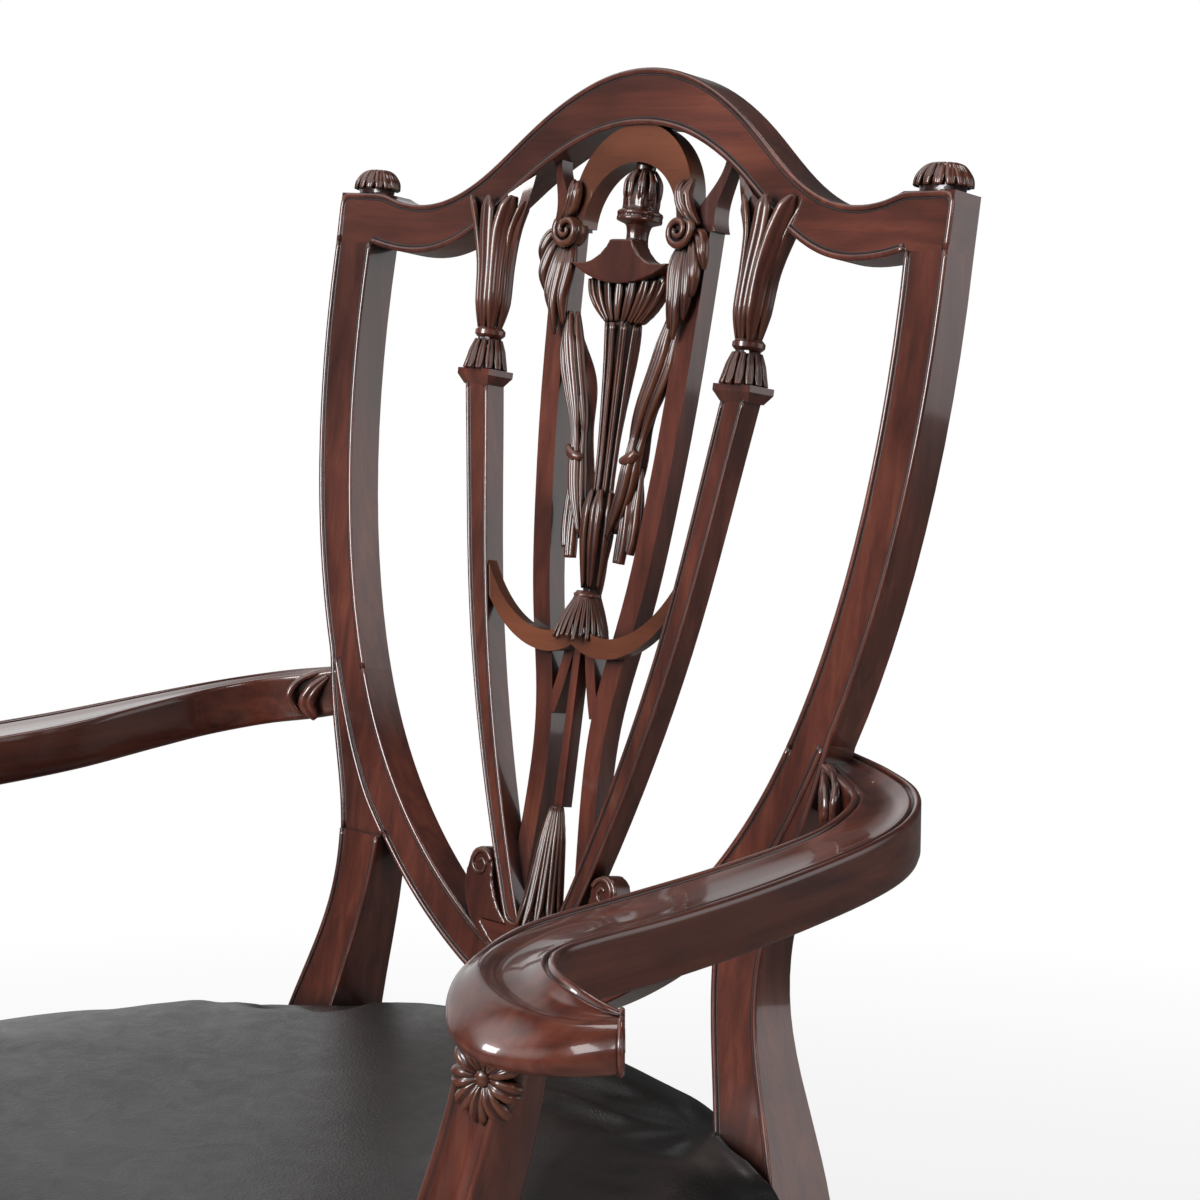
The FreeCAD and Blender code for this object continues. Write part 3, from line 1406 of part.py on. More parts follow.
# The seat frame
corner = size("corner_round")
seat_plan = plate("seat_plan", seat_outline(0, corner), RAIL_FOOT, "Sizes.rail_height")
hollow = plate(
    "seat_hollow", seat_outline(size("rail_thickness"), corner), RAIL_FOOT, "Sizes.rail_height"
)
ring = cut("rail_ring", seat_plan, hollow)
front_blank = make_front_leg(seat_plan)
front_blanks = (front_blank, mirror(front_blank))
side_rail = make_side_rail(ring)
front_rail = node("front_rail", make_front_rail(ring))
rear_rail = node("rear_rail", make_rear_rail(leg_blanks))
front_screw, rear_screw = make_corner_screw(True), make_corner_screw(False)
front_block = cut("front_block", make_corner_block(True, hollow), front_blank, front_screw)
rear_block = cut("rear_block", make_corner_block(False, hollow), leg_blank, rear_screw)
rail_screws = support_screws()


def both_sides(label, pieces):
    """One node for fasteners and small parts that are alike on both sides."""
    return node(label, group(f"{label}_group", [*pieces, *[mirror(piece) for piece in pieces]]))


both_sides("corner_blocks", [front_block, rear_block])
both_sides("corner_screws", [front_screw, rear_screw])
both_sides("support_screws", rail_screws)
both_sides("arm_dowels", dowels)

# The legs, the arms and their supports
pair("side_rail", cut("side_rail_drilled", side_rail, *rail_screws))
pair("front_leg", cut("front_leg", front_blank, side_rail, front_rail, front_screw))
leg_whole = fused("leg_with_tenon", leg_blank, shoulder)
pair("rear_leg", cut("rear_leg", leg_whole, side_rail, rear_rail, rear_screw, *dowels))
arm = make_arm(leg_blank)
pair("arm", cut("arm_drilled", arm, *dowels))
pair("arm_support", cut("support", make_support(), arm, seat_plan, *rail_screws))

# The upholstery
gap = size("soft_gap")
post_notch = box(
    "post_notch", (size("post_reach") - size("post_width") - gap, LEG_FRONT - gap, RAIL_FOOT / 2),
    (size("seat_front_reach"), size("rail_thickness"), RAIL_TOP + 2 * size("crown_height")),
    FLAT_PLACE,
)
support_notch = make_support(gap)
notches = [post_notch, support_notch, mirror(post_notch), mirror(support_notch)]
deck_plan = plate(
    "deck_plan", seat_outline(size("deck_margin"), corner), RAIL_TOP, "Sizes.deck_thickness"
)
deck = node("seat_deck", cut("deck", deck_plan, *notches))
filling = lofted("filling", crown_sections(0), FLAT_PLACE, ruled=True)
node("seat_pad", cut("pad", filling, deck_plan, *notches))
inside = make_crown("cover_inside", 0, RAIL_FOOT)
outside = make_crown("cover_outside", size("leather_thickness"), RAIL_FOOT)
node("seat_cover", cut("cover", outside, inside, *notches))
lining = plate(
    "lining", seat_outline(size("deck_margin") / 2, corner),
    RAIL_FOOT - size("dust_cover_thickness"), "Sizes.dust_cover_thickness",
)
node("dust_cover", cut("dust_cloth", lining, *leg_blanks, *front_blanks))

# The glides under the feet
rear_foot = LEG_FRONT + size("leg_rake") + size("rear_foot_depth") / 2
glides = [
    rod("glide", size("glide_radius"), size("glide_thickness"), (x, y, 0), (0, 0, 1), FLAT_PLACE)
    for x, y in ((FRONT_LEG_X, FRONT_LEG_Y), (POST_AXIS, rear_foot))
]
both_sides("floor_glides", glides)

doc.recompute()
problems = []
for item in doc.Objects:
    if "Invalid" in item.State or "Error" in item.State:
        problems.append(f"{item.Name} is {item.State}")
for item in NODES:
    if item.Shape.isNull() or not item.Shape.isValid() or not item.Shape.Solids:
        problems.append(f"{item.Label} has no sound shape")
if problems:
    raise RuntimeError("\n".join(problems))

os.makedirs("parts", exist_ok=True)
for item in NODES:
    item.Shape.exportStep(f"parts/{item.Label}.step")
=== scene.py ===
import bmesh
import bpy
import math
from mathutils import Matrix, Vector, noise


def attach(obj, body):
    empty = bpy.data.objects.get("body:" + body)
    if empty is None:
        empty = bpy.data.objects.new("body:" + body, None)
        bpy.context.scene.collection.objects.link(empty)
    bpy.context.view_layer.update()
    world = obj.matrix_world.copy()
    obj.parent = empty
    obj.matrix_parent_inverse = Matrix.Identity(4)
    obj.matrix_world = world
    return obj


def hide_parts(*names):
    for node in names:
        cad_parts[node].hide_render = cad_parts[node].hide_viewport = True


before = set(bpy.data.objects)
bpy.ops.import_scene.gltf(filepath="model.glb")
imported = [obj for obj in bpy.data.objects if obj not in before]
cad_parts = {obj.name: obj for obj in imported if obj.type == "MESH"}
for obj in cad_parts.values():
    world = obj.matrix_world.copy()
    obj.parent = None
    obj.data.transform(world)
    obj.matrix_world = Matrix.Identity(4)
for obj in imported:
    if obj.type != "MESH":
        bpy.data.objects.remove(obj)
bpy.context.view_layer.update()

# Shield back armchair: lacquered mahogany, carved splat and a black leather seat
# The chair faces -Y, left and right are the sitter's, so left is on +X
SIDES = {"left": 1, "right": -1}


def both(*names):
    """Names of the left and right pieces."""
    return [f"{name}_{label}" for name in names for label in SIDES]


# The back is drawn in its own plane, in millimetres: u across, d behind the front face, v up from
# the top corners. These values place that plane.
LEAN = math.radians(10)
BACK_Y = 0.25241
CORNER_Z = 0.952
BOW_RADIUS = 2260.0
FORWARD = Vector((0, -math.cos(LEAN), math.sin(LEAN)))
# Depths of the splat's and the urn's axes, and the outer rib's distance from the middle
SPLAT_AXIS = 2.5
URN_AXIS = 9.0
RIB_SPREAD = 103


def bow(u, d=0.0):
    """Depth of the hollow face of the back."""
    return math.sqrt((BOW_RADIUS + d) ** 2 - u * u) - BOW_RADIUS


def back(u, d, v):
    """A point given in the back's plane, in metres."""
    y = d * math.cos(LEAN) + v * math.sin(LEAN)
    z = -d * math.sin(LEAN) + v * math.cos(LEAN)
    return Vector((u / 1000, BACK_Y + y / 1000, CORNER_Z + z / 1000))


def back_direction(u, d, v):
    """A unit vector given in the back's plane."""
    return (back(u, d, v) - back(0, 0, 0)).normalized()


def to_back(point):
    """The place of a point in the back's plane, in millimetres."""
    y, z = (point.y - BACK_Y) * 1000, (point.z - CORNER_Z) * 1000
    depth = y * math.cos(LEAN) - z * math.sin(LEAN)
    return point.x * 1000, depth, y * math.sin(LEAN) + z * math.cos(LEAN)


# Paths and meshes


def smooth_path(points, per_span=6):
    """A smooth path through points of any dimension."""
    points = [Vector(point) for point in points]
    path = []
    for i in range(len(points) - 1):
        before, a, b = points[max(i - 1, 0)], points[i], points[i + 1]
        after = points[min(i + 2, len(points) - 1)]
        for step in range(per_span):
            t = step / per_span
            path.append(0.5 * (
                2 * a + (b - before) * t + (2 * before - 5 * a + 4 * b - after) * t ** 2
                + (3 * a - before - 3 * b + after) * t ** 3
            ))
    path.append(points[-1])
    return path


def path_length(path):
    return sum((b - a).length for a, b in zip(path, path[1:]))


def resampled(path, spacing):
    """The same path with points at an even distance."""
    lengths = [0.0]
    for a, b in zip(path, path[1:]):
        lengths.append(lengths[-1] + (b - a).length)
    count = max(2, round(lengths[-1] / spacing))
    result, at = [], 0
    for step in range(count + 1):
        goal = lengths[-1] * step / count
        while at < len(path) - 2 and lengths[at + 1] < goal:
            at += 1
        span = max(lengths[at + 1] - lengths[at], 1e-9)
        result.append(path[at].lerp(path[at + 1], (goal - lengths[at]) / span))
    return result


def at_share(values, share):
    """A value read from a list of evenly spaced values."""
    if len(values) == 1:
        return values[0]
    place = min(max(share, 0.0), 1.0) * (len(values) - 1)
    i = min(int(place), len(values) - 2)
    return values[i] + (values[i + 1] - values[i]) * (place - i)


class Carving:
    """Collects the swept shapes that make up one carved piece; all its sizes are in metres."""

    def __init__(self):
        self.verts = []
        self.faces = []

    def rings(self, rings):
        start, count = len(self.verts), len(rings[0])
        for ring in rings:
            self.verts += ring
        for i in range(len(rings) - 1):
            for j in range(count):
                a, b = start + i * count + j, start + i * count + (j + 1) % count
                self.faces.append((a, b, b + count, a + count))
        self.faces.append(tuple(reversed(range(start, start + count))))
        self.faces.append(tuple(range(len(self.verts) - count, len(self.verts))))

    def sweep(self, path, normals, profile):
        """Sweeps a profile of (across, up) points; profile(share) gives it at each place."""
        rings = []
        for i, point in enumerate(path):
            share = i / (len(path) - 1)
            tangent = (path[min(i + 1, len(path) - 1)] - path[max(i - 1, 0)]).normalized()
            normal = at_share(normals, share)
            across = tangent.cross(normal).normalized()
            up = across.cross(tangent)
            rings.append([point + across * x + up * y for x, y in profile(share)])
        self.rings(rings)

    def tube(self, path, normals, radii, flat=1.0, sides=10):
        def profile(share):
            radius = at_share(radii, share)
            turns = [2 * math.pi * side / sides for side in range(sides)]
            return [(radius * math.cos(turn), radius * flat * math.sin(turn)) for turn in turns]

        self.sweep(path, normals, profile)

    def blade(self, path, normals, widths, height, vein=0.45):
        """A carved leaf: rounded across, with a vein down its middle."""
        places = (-1, -0.82, -0.5, -0.2, 0, 0.2, 0.5, 0.82, 1)

        def profile(share):
            half = at_share(widths, share)
            rise = height * min(1.0, half / max(widths) + 0.15)
            top = [
                (half * k, rise * (math.sqrt(1 - k * k) * (1 - vein * math.exp(-(k / 0.2) ** 2))))
                for k in places
            ]
            return top + [(half * 0.6, -rise * 0.6), (-half * 0.6, -rise * 0.6)]

        self.sweep(path, normals, profile)

    def bead(self, path, normals, half, height, sunk=0.0006):
        steps = 6

        def profile(share):
            turns = [math.pi * step / steps for step in range(steps + 1)]
            top = [(-half * math.cos(turn), height * math.sin(turn)) for turn in turns]
            return top + [(half, -sunk), (-half, -sunk)]

        self.sweep(path, normals, profile)


def finish_piece(obj, material):
    """Gives a piece its material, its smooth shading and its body."""
    obj.data.materials.clear()
    obj.data.materials.append(material)
    for face in obj.data.polygons:
        face.use_smooth = True
    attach(obj, "root")


def new_object(name, data):
    """An object in the scene for a mesh, a lamp or a camera."""
    obj = bpy.data.objects.new(name, data)
    bpy.context.scene.collection.objects.link(obj)
    return obj


def piece_from(name, carving, material):
    mesh = bpy.data.meshes.new(name)
    mesh.from_pydata([tuple(vert) for vert in carving.verts], [], carving.faces)
    mesh.validate()
    shape = bmesh.new()
    shape.from_mesh(mesh)
    bmesh.ops.recalc_face_normals(shape, faces=shape.faces)
    shape.to_mesh(mesh)
    shape.free()
    obj = new_object(name, mesh)
    finish_piece(obj, material)
    return obj


def evaluated(obj):
    """The mesh of an object with its modifiers applied."""
    bpy.context.view_layer.update()
    graph = bpy.context.evaluated_depsgraph_get()
    return bpy.data.meshes.new_from_object(obj.evaluated_get(graph), depsgraph=graph)


def apply_modifiers(obj):
    mesh = evaluated(obj)
    obj.modifiers.clear()
    obj.data = mesh


def copy_of(node):
    """A closed copy of a CAD node's mesh in a new object."""
    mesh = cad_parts[node].data.copy()
    mesh.name = f"{node}_carved"
    shape = bmesh.new()
    shape.from_mesh(mesh)
    bmesh.ops.remove_doubles(shape, verts=shape.verts, dist=1e-6)
    shape.to_mesh(mesh)
    shape.free()
    return new_object(mesh.name, mesh)


def remeshed(obj, voxel, rounds):
    """Gives an object an even mesh with its edges eased."""
    remesh = obj.modifiers.new("remesh", "REMESH")
    remesh.mode = "VOXEL"
    remesh.voxel_size = voxel
    ease = obj.modifiers.new("ease", "SMOOTH")
    ease.factor = 0.5
    ease.iterations = rounds
    apply_modifiers(obj)


def eased(node, voxel, rounds):
    """A carved CAD piece with its edges eased, which takes the place of the sharp one."""
    obj = copy_of(node)
    remeshed(obj, voxel, rounds)
    finish_piece(obj, CARVED)
    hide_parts(node)


# Materials


class NodeTree:
    """A short way to write the nodes of a world or a material."""

    def __init__(self, tree):
        self.tree = tree

    def fill(self, item, key, value):
        """Links a node's input to a socket, or sets it to a plain value."""
        if isinstance(value, bpy.types.NodeSocket):
            self.tree.links.new(value, item.inputs[key])
        else:
            item.inputs[key].default_value = value

    def add(self, kind, inputs=(), **settings):
        item = self.tree.nodes.new(kind)
        for key, value in settings.items():
            setattr(item, key, value)
        for key, value in dict(inputs).items():
            self.fill(item, key, value)
        return item

    def math(self, operation, a, b):
        return self.add("ShaderNodeMath", {0: a, 1: b}, operation=operation).outputs["Value"]


class Finish(NodeTree):
    """A new material, written round its main shader."""

    def __init__(self, name):
        self.material = bpy.data.materials.new(name)
        self.material.use_nodes = True
        super().__init__(self.material.node_tree)
        self.shader = self.tree.nodes["Principled BSDF"]

    def coordinates(self, scale=(1, 1, 1)):
        place = self.add("ShaderNodeTexCoord")
        return self.add(
            "ShaderNodeMapping", {"Vector": place.outputs["Object"], "Scale": scale}
        ).outputs["Vector"]

    def noise(self, vector, scale, detail=4.0, roughness=0.6, distortion=0.0):
        item = self.add("ShaderNodeTexNoise", {
            "Vector": vector, "Scale": scale, "Detail": detail, "Roughness": roughness,
            "Distortion": distortion,
        })
        return item.outputs["Fac"]

    def ramp(self, value, stops):
        """A blend of colours; each stop is a place and a colour."""
        item = self.add("ShaderNodeValToRGB", {"Fac": value})
        ramp = item.color_ramp
        while len(ramp.elements) < len(stops):
            ramp.elements.new(0.5)
        for element, (place, colour) in zip(ramp.elements, stops):
            element.position = place
            element.color = (*colour, 1)
        return item.outputs["Color"]

    def span(self, value, low, high, to_low=0.0, to_high=1.0):
        """Maps the range from low to high onto another one."""
        item = self.add("ShaderNodeMapRange", {
            "Value": value, "From Min": low, "From Max": high, "To Min": to_low,
            "To Max": to_high,
        })
        return item.outputs["Result"]

    def mix(self, factor, base, top, blend="MIX"):
        """Lays a colour over a base colour."""
        if not isinstance(top, bpy.types.NodeSocket):
            top = (*top, 1)
        item = self.add("ShaderNodeMix", {0: factor, 6: base, 7: top}, data_type="RGBA",
                        blend_type=blend)
        return item.outputs[2]

    def bump(self, height, strength, distance):
        item = self.add("ShaderNodeBump", {
            "Height": height, "Strength": strength, "Distance": distance,
        })
        self.fill(self.shader, "Normal", item.outputs["Normal"])

    def set(self, **values):
        """Sets the shader's inputs, whose names have a low line for each space."""
        for key, value in values.items():
            self.fill(self.shader, key.replace("_", " "), value)


def stretched(axis, along):
    """A scale that draws a pattern out along one axis."""
    return tuple(along if name == axis else 1.0 for name in "xyz")


def mahogany(name, axis, carved=False, rubbed_flat=False):
    """Lacquered mahogany: fine grain along an axis and painted shade in the recesses; when carved,
    also painted shade in the valleys and rubbed edges that are partly painted highlights.
    """
    m = Finish(name)
    grain = m.noise(m.coordinates(stretched(axis, 0.05)), scale=110.0, detail=6.0,
                    roughness=0.62, distortion=0.5)
    cloud = m.noise(m.coordinates(stretched(axis, 0.35)), scale=16.0, detail=3.0, roughness=0.55)
    pores = m.noise(m.coordinates(stretched(axis, 0.05)), scale=1100.0, detail=2.0, roughness=0.5)
    dark, middle, light = (0.050, 0.0105, 0.0062), (0.112, 0.0265, 0.0150), (0.185, 0.0530, 0.0275)
    wood = m.ramp(grain, [(0.25, dark), (0.5, middle), (0.75, light)])
    if rubbed_flat:
        golden = (0.215, 0.072, 0.026)
        wood = m.mix(0.55, wood, golden)
    tone = m.ramp(cloud, [(0.32, (0.42, 0.36, 0.36)), (0.66, (1.14, 1.04, 0.98))])
    wood = m.mix(1.0, wood, tone, "MULTIPLY")
    fleck = m.span(pores, 0.62, 0.74, 0.0, 0.4)
    filler = (0.022, 0.006, 0.004)
    wood = m.mix(fleck, wood, filler)
    if carved:
        stain, bare_and_highlight, valley_shade = (0.030, 0.0075, 0.005), (0.24, 0.088, 0.036), (0.004, 0.0018, 0.0015)
        wood = m.mix(0.4, wood, stain)
        ridge = m.add("ShaderNodeNewGeometry").outputs["Pointiness"]
        patches = m.span(m.noise(m.coordinates(), scale=60.0), 0.35, 0.6)
        # Rubbed wear that is also a painted highlight: the ridges, where pointiness is high, turn
        # lighter in patches
        rub_and_highlight = m.math("MULTIPLY", m.span(ridge, 0.515, 0.58, 0.0, 0.45), patches)
        wood = m.mix(rub_and_highlight, wood, bare_and_highlight)
        # Painted shade: where pointiness is low, in the hollows of the carving, the colour goes
        # almost black
        wood = m.mix(m.span(ridge, 0.49, 0.43, 0.0, 0.9), wood, valley_shade)
    reach, strongest = (0.006, 0.97) if carved else (0.018, 0.85)
    # Painted shade: ambient occlusion darkens the recesses and corners to near black
    shade = m.add("ShaderNodeAmbientOcclusion", {"Distance": reach}, samples=8)
    hollow = m.span(shade.outputs["AO"], 0.45, 0.95, strongest, 0.0)
    recess_shade = (0.0045, 0.0022, 0.0020)
    wood = m.mix(hollow, wood, recess_shade)
    m.set(Base_Color=wood, Roughness=m.span(cloud, 0.2, 0.8, 0.26, 0.36))
    m.set(Coat_Weight=0.65 if carved else 1.0, Coat_Roughness=0.07, Coat_IOR=1.5)
    m.bump(m.math("ADD", m.math("MULTIPLY", grain, 0.5), fleck), strength=0.07, distance=0.0004)
    return m.material


def recess_shade_line():
    """Near black paint for the strips beside the beads: painted shade of the grooves there."""
    m = Finish("mahogany_recess_shade")
    blur = m.noise(m.coordinates(), scale=130.0)
    m.set(Base_Color=m.ramp(blur, [(0.3, (0.006, 0.003, 0.003)), (0.75, (0.030, 0.011, 0.008))]))
    m.set(Roughness=0.42, Coat_Weight=0.25, Coat_Roughness=0.2)
    m.bump(blur, strength=0.1, distance=0.0003)
    return m.material


def black_leather():
    """Black leather with a fine round grain and soft creases."""
    m = Finish("black_leather")
    place = m.coordinates()
    cells = m.add("ShaderNodeTexVoronoi", {"Vector": place, "Scale": 620.0})
    grain = m.span(cells.outputs["Distance"], 0.0, 0.7)
    creases = m.noise(place, scale=46.0, detail=5.0, roughness=0.62, distortion=1.2)
    cloud = m.noise(place, scale=9.0, detail=3.0)
    dark, worn = (0.0085, 0.0080, 0.0076), (0.0165, 0.0155, 0.0145)
    m.set(Base_Color=m.ramp(cloud, [(0.3, dark), (0.7, worn)]))
    m.set(Roughness=m.span(creases, 0.25, 0.8, 0.30, 0.44))
    m.set(Specular_IOR_Level=0.6)
    height = m.math("ADD", m.math("MULTIPLY", grain, 0.5), m.math("MULTIPLY", creases, 0.9))
    m.bump(height, strength=0.28, distance=0.0006)
    return m.material


def plain_wood(name, axis, dark, light):
    """Bare wood of the hidden pieces."""
    m = Finish(name)
    grain = m.noise(m.coordinates(stretched(axis, 0.08)), scale=120.0, detail=5.0, roughness=0.6,
                    distortion=0.4)
    m.set(Base_Color=m.ramp(grain, [(0.3, dark), (0.7, light)]), Roughness=0.62)
    m.bump(grain, strength=0.2, distance=0.0005)
    return m.material


def woven_cloth():
    """Thin black cloth; its threads cross along X and Y."""
    m = Finish("under_cloth")
    threads = [
        m.add("ShaderNodeTexWave", {"Vector": m.coordinates(), "Scale": 700.0},
              bands_direction=direction).outputs["Fac"]
        for direction in "XY"
    ]
    weave = m.math("MULTIPLY", *threads)
    m.set(Base_Color=m.ramp(weave, [(0.0, (0.008, 0.008, 0.008)), (1.0, (0.03, 0.03, 0.03))]))
    m.set(Roughness=0.9)
    m.bump(weave, strength=0.4, distance=0.0003)
    return m.material


def brushed_steel():
    m = Finish("screw_steel")
    lines = m.noise(m.coordinates(stretched("x", 0.1)), scale=900.0, detail=2.0)
    m.set(Base_Color=m.ramp(lines, [(0.3, (0.32, 0.31, 0.30)), (0.7, (0.55, 0.54, 0.52))]))
    m.set(Metallic=1.0, Roughness=m.span(lines, 0.2, 0.8, 0.25, 0.42))
    m.bump(lines, strength=0.1, distance=0.0002)
    return m.material


def moulded_glide():
    m = Finish("glide_plastic")
    grain = m.noise(m.coordinates(), scale=800.0)
    m.set(Base_Color=m.ramp(grain, [(0.3, (0.02, 0.018, 0.016)), (0.7, (0.035, 0.03, 0.027))]))
    m.set(Roughness=0.5)
    m.bump(grain, strength=0.15, distance=0.0002)
    return m.material


WOOD = {axis: mahogany(f"mahogany_{axis}", axis) for axis in "xyz"}
RUBBED = mahogany("mahogany_rubbed", "x", rubbed_flat=True)
CARVED = mahogany("mahogany_carved", "z", carved=True)
# Painted shade for the strips beside the beads
GROOVE_SHADE = recess_shade_line()
LEATHER = black_leather()
BEECH = plain_wood("beech", "x", (0.20, 0.115, 0.06), (0.42, 0.27, 0.15))
PLYWOOD = plain_wood("plywood", "y", (0.25, 0.16, 0.085), (0.45, 0.32, 0.19))
CAMBRIC = woven_cloth()
STEEL = brushed_steel()
GLIDE = moulded_glide()

NODE_MATERIALS = {
    WOOD["x"]: ("crest_rail", "splat_shoe", "front_rail", "rear_rail"),
    RUBBED: ("swag_rail", "splat_arch"),
    WOOD["y"]: both("side_rail"),
    WOOD["z"]: (
        "centre_reeds", *both("rear_leg", "shield_rail", "front_leg", "inner_rib", "outer_rib"),
    ),
    BEECH: ("corner_blocks", "arm_dowels"),
    PLYWOOD: ("seat_deck",),
    CAMBRIC: ("dust_cover",),
    STEEL: ("corner_screws", "support_screws"),
    GLIDE: ("floor_glides",),
}
for material, names in NODE_MATERIALS.items():
    for name in names:
        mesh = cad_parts[name].data
        mesh.materials.clear()
        mesh.materials.append(material)


# The beads along the edges

# Half width, height and depth in the wood of the painted shade strip beside a bead, in metres
GROOVE_SHADE_SIZE = (0.0006, 0.00012, 0.0001)
# Half width and height of the beads
FRAME_BEAD = (0.0016, 0.0011)
RIB_BEAD = (0.0012, 0.0008)
# A rim has one face that looks forward and one that looks aside: limits of their normals' cosines
FORWARD_LIMIT = 0.72
ASIDE_LIMIT = 0.5
# Joint lines in the back's plane: crest and stile, post and lower rail from its inner to its outer
# end, and the ledge where the leg's front meets the plane
EAR_JOINT, EAR_FROM = -30, 205
JOINT_INNER = (170.6, -288)
JOINT_OUTER = (138.6, -385)
LEDGE, LEDGE_FROM, LEDGE_TO = -386, 139, 174
# The outer ribs are beaded below this height, under their husks
SHAFT_TOP = -113


def edge_links(shape, keep):
    """Rims, listed at both of their ends as the other end, the direction inwards and the normal."""
    found = {}
    for edge in shape.edges:
        if len(edge.link_faces) != 2:
            continue
        a, b = edge.link_faces
        if b.normal.dot(FORWARD) > a.normal.dot(FORWARD):
            a, b = b, a
        if a.normal.dot(FORWARD) < FORWARD_LIMIT or b.normal.dot(FORWARD) > ASIDE_LIMIT:
            continue
        middle = (edge.verts[0].co + edge.verts[1].co) / 2
        if not keep(middle):
            continue
        along = (edge.verts[1].co - edge.verts[0].co).normalized()
        inwards = along.cross(a.normal)
        if inwards.dot(a.calc_center_median() - middle) < 0:
            inwards.negate()
        for vert, other in (edge.verts, reversed(edge.verts)):
            found.setdefault(vert.index, []).append((other.index, inwards.copy(), a.normal.copy()))
    return found


def linked_runs(found):
    """Runs of linked rims as vertex numbers; a run ends where more or fewer than two meet."""
    runs, used = [], set()
    ends = [i for i, links in found.items() if len(links) != 2]
    for start in ends + list(found):
        for link in found[start]:
            run, at, step = [start], start, link
            while step and frozenset((at, step[0])) not in used:
                used.add(frozenset((at, step[0])))
                at = step[0]
                run.append(at)
                onward = [item for item in found[at] if frozenset((at, item[0])) not in used]
                step = onward[0] if len(found[at]) == 2 and onward else None
            if len(run) > 1:
                runs.append(run)
    return runs


def rims(node, keep):
    """Runs of rims on a CAD piece; each point has its place, direction inwards and normal."""
    shape = bmesh.new()
    shape.from_mesh(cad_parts[node].data)
    bmesh.ops.remove_doubles(shape, verts=shape.verts, dist=2e-5)
    shape.normal_update()
    found = edge_links(shape, keep)
    places = {vert.index: vert.co.copy() for vert in shape.verts}
    shape.free()
    result = []
    for run in linked_runs(found):
        path = []
        for i in run:
            inwards = sum((link[1] for link in found[i]), Vector()).normalized()
            normal = sum((link[2] for link in found[i]), Vector()).normalized()
            path.append((places[i], inwards, normal))
        result.append(path)
    return result


def offset_path(rim, inset, spacing=0.004):
    """A rim moved inwards, with even spacing, smoothed twice, and its normals."""
    path = resampled([place + inwards * inset for place, inwards, _ in rim], spacing)
    for _ in range(2):
        path = [path[0]] + [
            (a + 2 * b + c) / 4 for a, b, c in zip(path, path[1:], path[2:])
        ] + [path[-1]]
    return path, [normal for _, _, normal in rim]


def edge_mouldings(beads, groove_shades, edges, bead, shortest=0.02):
    """A bead along each rim, with a strip of painted groove shade on its inner side."""
    half, height = bead
    for rim in edges:
        if path_length([place for place, _, _ in rim]) < shortest:
            continue
        path, normals = offset_path(rim, half * 1.05)
        beads.bead(path, normals, half, height)
        path, normals = offset_path(rim, half * 2.1 + 0.0005)
        groove_shades.bead(path, normals, *GROOVE_SHADE_SIZE)


def outside_joint(point):
    """Leaves out the joints between crest, stiles and lower rails."""
    u, _, v = to_back(point)
    if abs(v - EAR_JOINT) < 1.0 and abs(u) > EAR_FROM:
        return False
    along = (JOINT_INNER[1] - v) / (JOINT_INNER[1] - JOINT_OUTER[1])
    line = JOINT_INNER[0] + (JOINT_OUTER[0] - JOINT_INNER[0]) * along
    if -0.02 < along < 1.02 and abs(abs(u) - line) < 0.25:
        return False
    return not (abs(v - LEDGE) < 0.9 and LEDGE_FROM < abs(u) < LEDGE_TO)


def below_husk(point):
    return to_back(point)[2] < SHAFT_TOP


beads, groove_shades = Carving(), Carving()
for name in ("crest_rail", *both("rear_leg", "shield_rail")):
    edge_mouldings(beads, groove_shades, rims(name, outside_joint), FRAME_BEAD)
for name in both("outer_rib"):
    edge_mouldings(beads, groove_shades, rims(name, below_husk), RIB_BEAD, 0.05)
# The outer bead of the lower rails runs on over the posts to their outer edges
for side in SIDES.values():
    run = (JOINT_OUTER, (157, -364), (173, -338), (186, -311), (196.4, -286))
    path = smooth_path([back(side * u, bow(u), v) for u, v in run])
    beads.bead(path, [FORWARD], *FRAME_BEAD)
    # Beside it runs a strip of painted groove shade
    path = smooth_path([back(side * (u - 2.4), bow(u), v + 1.8) for u, v in run])
    groove_shades.bead(path, [FORWARD], *GROOVE_SHADE_SIZE)
piece_from("edge_beads", beads, WOOD["z"])
# The strips of painted groove shade beside all the beads
piece_from("edge_groove_shades", groove_shades, GROOVE_SHADE)


# The carved splat


def round_blades(carving, u, d, stations, angles, widths, height):
    """Leaves round an upright axis; stations give height and radius from one end to the other."""
    for angle in angles:
        out = (math.sin(angle), -math.cos(angle))
        points = [back(u + radius * out[0], d + radius * out[1], v) for v, radius in stations]
        carving.blade(smooth_path(points, 5), [back_direction(*out, 0)], widths, height)


def fan(count, reach):
    """Angles spread evenly to both sides of the front."""
    return [reach * (2 * i / (count - 1) - 1) for i in range(count)]


def make_capital(side, label):
    """Leaf capital, gadrooned husk and neck of an outer rib."""
    carving = Carving()
    u, d = RIB_SPREAD * side, bow(RIB_SPREAD, SPLAT_AXIS)
    lean = 5.8 * side
    # Height, radius and share of the lean; each second leaf stands 0.9 mm further out
    stations = (
        (-80, 6.0, 0), (-64, 8.4, 0), (-42, 9.3, 0.3), (-22, 13.5, 0.8), (-8, 19.5, 1.0),
        (-1, 24.0, 1.1),
    )
    for order, angle in enumerate(fan(5, 1.7)):
        out = (math.sin(angle), -math.cos(angle))
        points = []
        for v, radius, shift in stations:
            deep = min(radius, 8.5) + 0.9 * (order % 2)
            points.append(back(u + lean * shift + radius * out[0], d + deep * out[1], v))
        carving.blade(smooth_path(points, 5), [back_direction(*out, 0)],
                      [0.0016, 0.0046, 0.0052, 0.0060, 0.0056, 0.0012], 0.0026, 0.35)
    husk = ((-85.5, 7.6), (-92, 9.6), (-98, 11.0), (-103, 12.4))
    round_blades(carving, u, d, husk, fan(9, 1.9), [0.0012, 0.0022, 0.0026, 0.0020], 0.0018)
    piece_from(f"capital_leaves_{label}", carving, CARVED)


